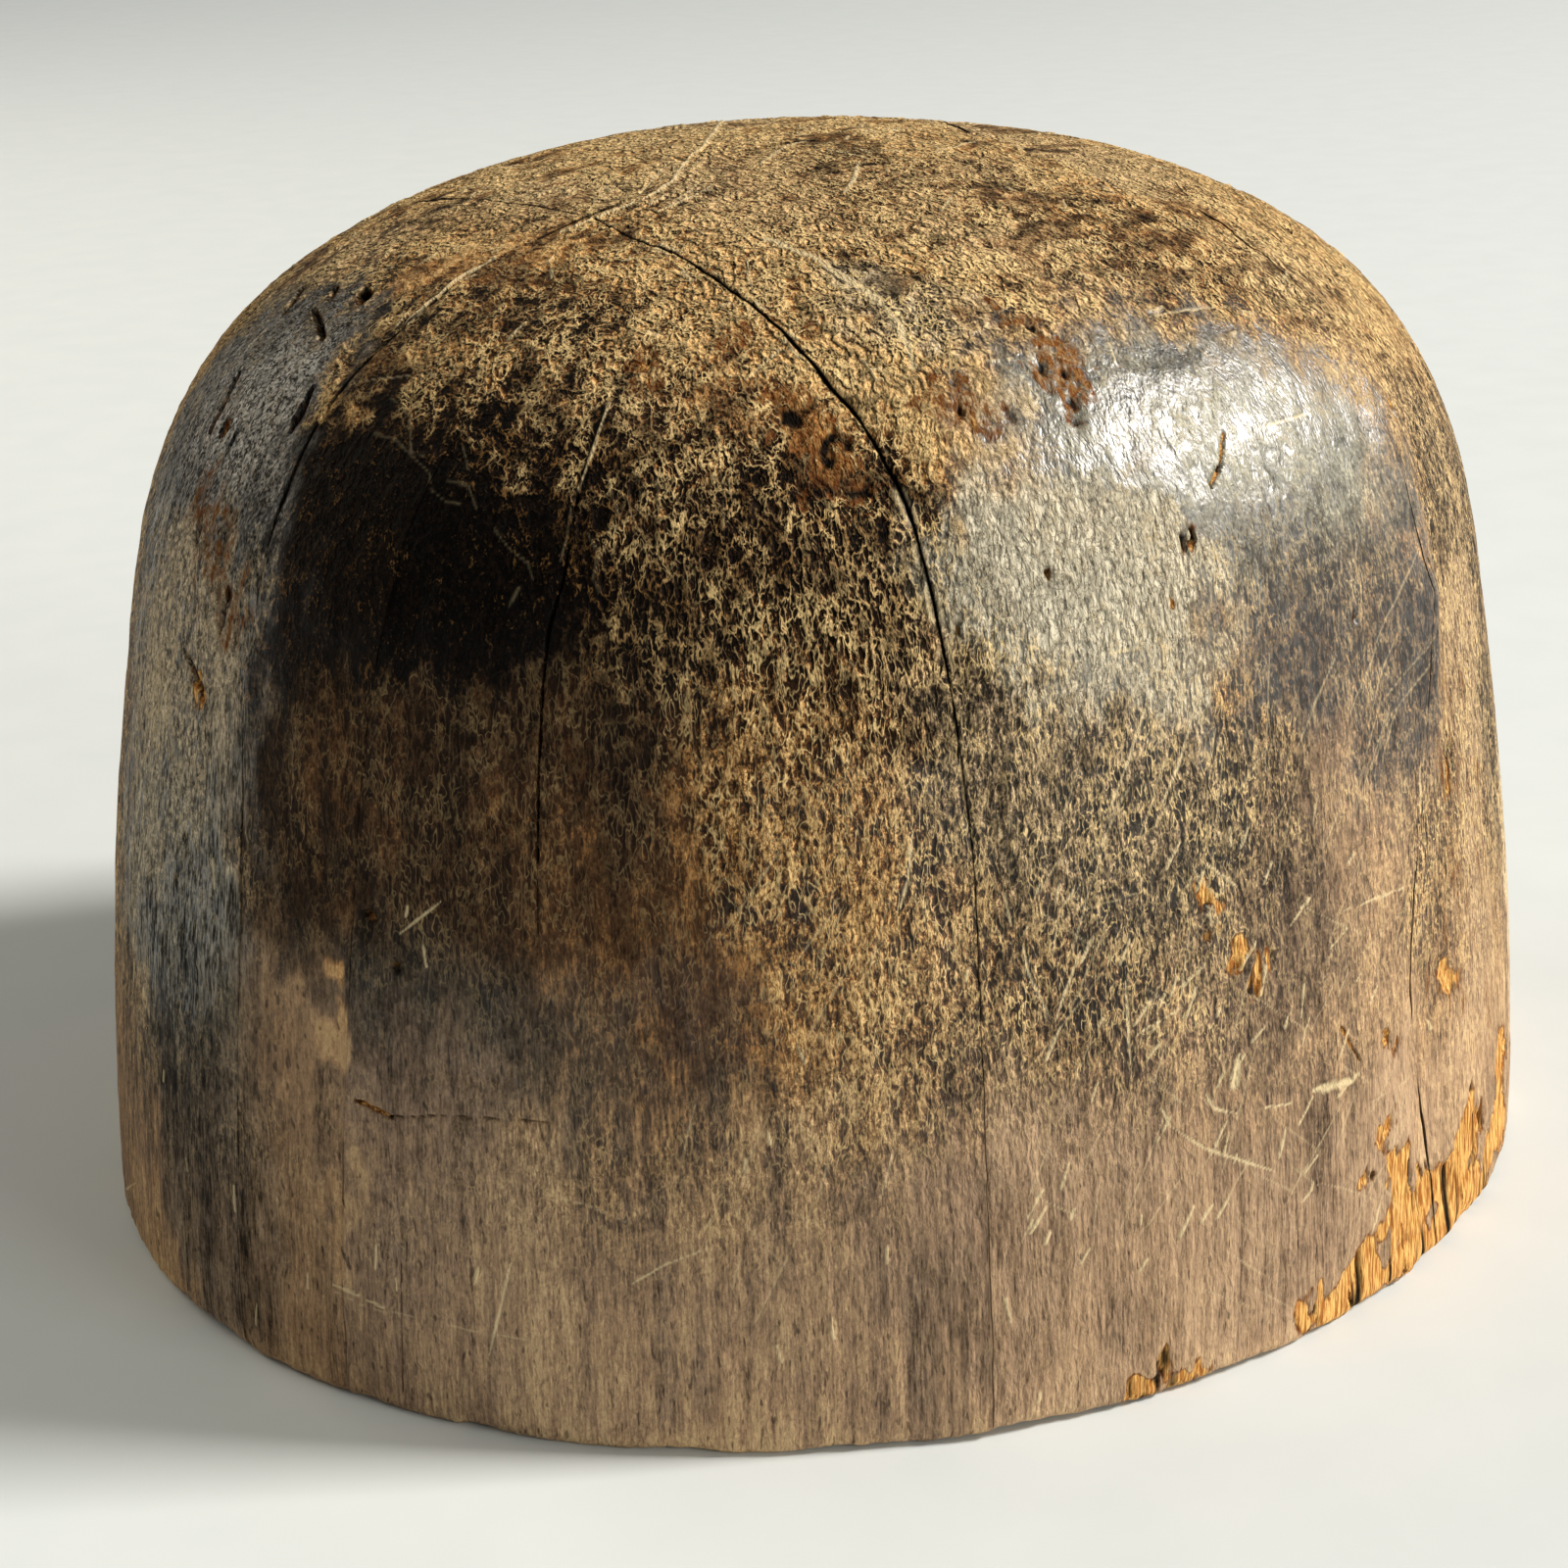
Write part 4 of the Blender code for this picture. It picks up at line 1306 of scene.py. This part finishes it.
def addColour(tree, look, found, shares):
    # the tones of the finish, whose grey is also painted as sheen, and over them crests painted bright as
    # glints, their painted shadows, pores, raw wood, pale scratches and glints, and grime
    tones = {}
    for key in ("worn", "slateAndSheen", "rubbed"):
        tones[key] = addNode(tree, "ValToRGB", {"Fac": found["worn"]})
        stops = tones[key].color_ramp.elements
        for stop in toneStops:
            stops.new(stop)
        for stop, tone in zip(stops, look[key]):
            stop.color = toLinear(tone)
    colours = {key: toLinear(tone) for key, tone in commonTones.items()}
    dark, brown = (toLinear(look["worn"][number]) for number in (0, 1))
    rawTone = addNode(tree, "Mix", {
        0: shares["rawFibre"], 6: colours["raw"], 7: colours["rawLight"],
    }, data_type="RGBA")
    rawTone = addNode(tree, "Mix", {
        0: shares["rotten"], 6: rawTone.outputs[2], 7: colours["rotten"],
    }, data_type="RGBA")
    crestTone = addNode(tree, "Mix", {
        0: shares["bright"], 6: colours["dullCrest"], 7: colours["crest"],
    }, data_type="RGBA")
    crests, paintedShadowShare = addCrests(tree, found)
    colour = tones["worn"]
    for share, tone in (
            (found["slateAndSheen"], tones["slateAndSheen"]), (found["rubbed"], tones["rubbed"]),
            (shares["crack"], brown), (paintedShadowShare, dark), (crests, crestTone), (shares["valley"], brown),
            (shares["pore"], dark), (shares["raw"], rawTone), (shares["paleAndGlint"], colours["paleAndGlint"]),
            (shares["dirt"], colours["grime"])):
        colour = addNode(tree, "Mix", {0: share, 6: colour, 7: tone}, data_type="RGBA")
    return colour.outputs[2]


def addRelief(tree, shader, found):
    # varnish fills the grain where it is whole, and handling has smoothed the lower side
    height = found["reliefMm"]
    for key, share in (("gloss", woodMix["glossLevels"]), ("calm", woodMix["calmLevels"])):
        left = addNode(tree, "Math", {0: found[key], 1: share, 2: 1.0}, operation="MULTIPLY_ADD")
        height = addNode(tree, "Math", {0: height, 1: left}, operation="MULTIPLY")
    for socket, relief in (("Normal", height), ("Coat Normal", found["varnishMm"])):
        bump = addNode(tree, "Bump", {"Height": relief, "Strength": 1.0, "Distance": mm})
        tree.links.new(bump.outputs[0], shader.inputs[socket])
    rough = addNode(tree, "Math", {
        0: found["speck"], 1: woodMix["roughSpeck"], 2: woodMix["roughLeast"],
    }, operation="MULTIPLY_ADD")
    tree.links.new(rough.outputs[0], shader.inputs["Roughness"])


def addCoat(tree, shader, found, shares):
    # gloss is left only where the varnish is whole, clean and unbroken, and it is streaked with the grain
    bare = addNode(tree, "Math", {0: shares["raw"], 1: found["dirt"]}, operation="MAXIMUM")
    clean = addNode(tree, "Math", {0: 1.0, 1: bare}, operation="SUBTRACT")
    unbroken = addNode(tree, "Math", {
        0: shares["unbroken"], 1: woodMix["brokenCoat"],
    }, operation="ADD")
    start, full = woodMix["coatStreak"]
    streaked = addNode(tree, "MapRange", {
        "Value": found["grain"], "From Min": start, "From Max": full,
        "To Min": 0.0, "To Max": woodMix["coatStreakLoss"],
    })
    streaked = addNode(tree, "Math", {
        0: streaked, 1: found["grained"], 2: 1.0,
    }, operation="MULTIPLY_ADD")
    coat = found["gloss"]
    for share in (shares["whole"], clean, unbroken, streaked):
        coat = addNode(tree, "Math", {0: coat, 1: share}, operation="MULTIPLY")
    tree.links.new(coat.outputs[0], shader.inputs["Coat Weight"])


def makeWood(name, look):
    wood = bpy.data.materials.new(name)
    wood.use_nodes = True
    tree = wood.node_tree
    shader = tree.nodes["Principled BSDF"]
    found = addPatterns(tree)
    for key in finishNames:
        found[key] = addNode(tree, "Attribute", attribute_name=key).outputs["Fac"]
    addWear(tree, found)
    shares = addShares(tree, found)
    tree.links.new(addColour(tree, look, found, shares), shader.inputs["Base Color"])
    addRelief(tree, shader, found)
    addCoat(tree, shader, found, shares)
    shader.inputs["Coat Roughness"].default_value = woodMix["coatRoughness"]
    shader.inputs["Coat IOR"].default_value = woodMix["coatIor"]
    shader.inputs["Specular IOR Level"].default_value = woodMix["specular"]
    shader.inputs["IOR"].default_value = woodMix["ior"]
    return wood


woods = {name: makeWood(name, look) for name, look in woodLooks.items()}
print("materials made:", sorted(woods))


def makeStaves():
    halves = {}
    for keep in (-1, 1):
        halves[keep] = form.copy()
        saw(halves[keep], "longJoint", keep)
    for name, look in staves.items():
        makeStave(name, halves[look["cuts"]["longJoint"]], look)
    for half in halves.values():
        half.free()


makeStaves()
form.free()


# A plain pale bench, soft lamps and the light of the room
studio = {
    "benchRadiusM": 3.0, "benchSides": 96, "benchRoughness": 0.6,
    "benchTones": ("#dde4e6", "#e7ecee"), "benchGrainMm": 16.6667, "benchGrainDetail": 4.0,
    "ambient": 0.20, "ambientColour": "#eeeeea",
}
# direction round the block and height as seen from it in degrees, distance and size in metres
lamps = {
    "keyWindow": {
        "turn": -37, "rise": 37, "awayM": 6.0, "sizeM": (1.25, 1.25), "power": 462.0, "colour": "#fff9f0",
    },
    "lowWindow": {
        "turn": -78, "rise": 17, "awayM": 2.2, "sizeM": (0.9, 0.5), "power": 17.0, "colour": "#f3f2e6",
    },
    "leftSkylight": {
        "turn": 112, "rise": 30, "awayM": 1.4, "sizeM": (0.8, 0.9), "power": 6.0, "colour": "#f5ead2",
    },
}


def makeBench():
    bench = bmesh.new()
    sides, radius = studio["benchSides"], studio["benchRadiusM"]
    bmesh.ops.create_circle(bench, cap_ends=True, segments=sides, radius=radius)
    mesh = bpy.data.meshes.new("paleBench")
    bench.to_mesh(mesh)
    bench.free()
    # matt white-painted board, rolled: a faint unevenness and no gloss
    paint = bpy.data.materials.new("rolled_white_paint")
    paint.use_nodes = True
    tree = paint.node_tree
    shader = tree.nodes["Principled BSDF"]
    place = addNode(tree, "TexCoord").outputs["Object"]
    grain = addNode(tree, "TexNoise", {
        "Vector": place, "Scale": 1 / (studio["benchGrainMm"] * mm), "Detail": studio["benchGrainDetail"],
    }).outputs["Fac"]
    darker, lighter = (toLinear(tone) for tone in studio["benchTones"])
    tone = addNode(tree, "Mix", {0: grain, 6: darker, 7: lighter}, data_type="RGBA")
    tree.links.new(tone.outputs[2], shader.inputs["Base Color"])
    shader.inputs["Roughness"].default_value = studio["benchRoughness"]
    mesh.materials.append(paint)
    board = bpy.data.objects.new("paleBench", mesh)
    bpy.context.scene.collection.objects.link(board)


def makeLamps():
    for name, look in lamps.items():
        lamp = bpy.data.lights.new(name, "AREA")
        lamp.shape = "RECTANGLE"
        lamp.size, lamp.size_y = look["sizeM"]
        lamp.energy = look["power"]
        lamp.color = toLinear(look["colour"])[:3]
        holder = bpy.data.objects.new(name, lamp)
        bpy.context.scene.collection.objects.link(holder)
        turn, rise = math.radians(look["turn"]), math.radians(look["rise"])
        away = Vector((math.cos(turn) * math.cos(rise), math.sin(turn) * math.cos(rise), math.sin(rise)))
        holder.matrix_world = (
            Matrix.Translation(away * look["awayM"] + Vector((0, 0, cadHigh.z / 2)))
            @ away.to_track_quat("Z", "Y").to_matrix().to_4x4()
        )
    world = bpy.data.worlds.new("roomLight")
    world.use_nodes = True
    sky = world.node_tree.nodes["Background"]
    sky.inputs["Color"].default_value = toLinear(studio["ambientColour"])
    sky.inputs["Strength"].default_value = studio["ambient"]
    bpy.context.scene.world = world


makeBench()
makeLamps()
bpy.context.scene.view_settings.view_transform = "Standard"

print("stage set")
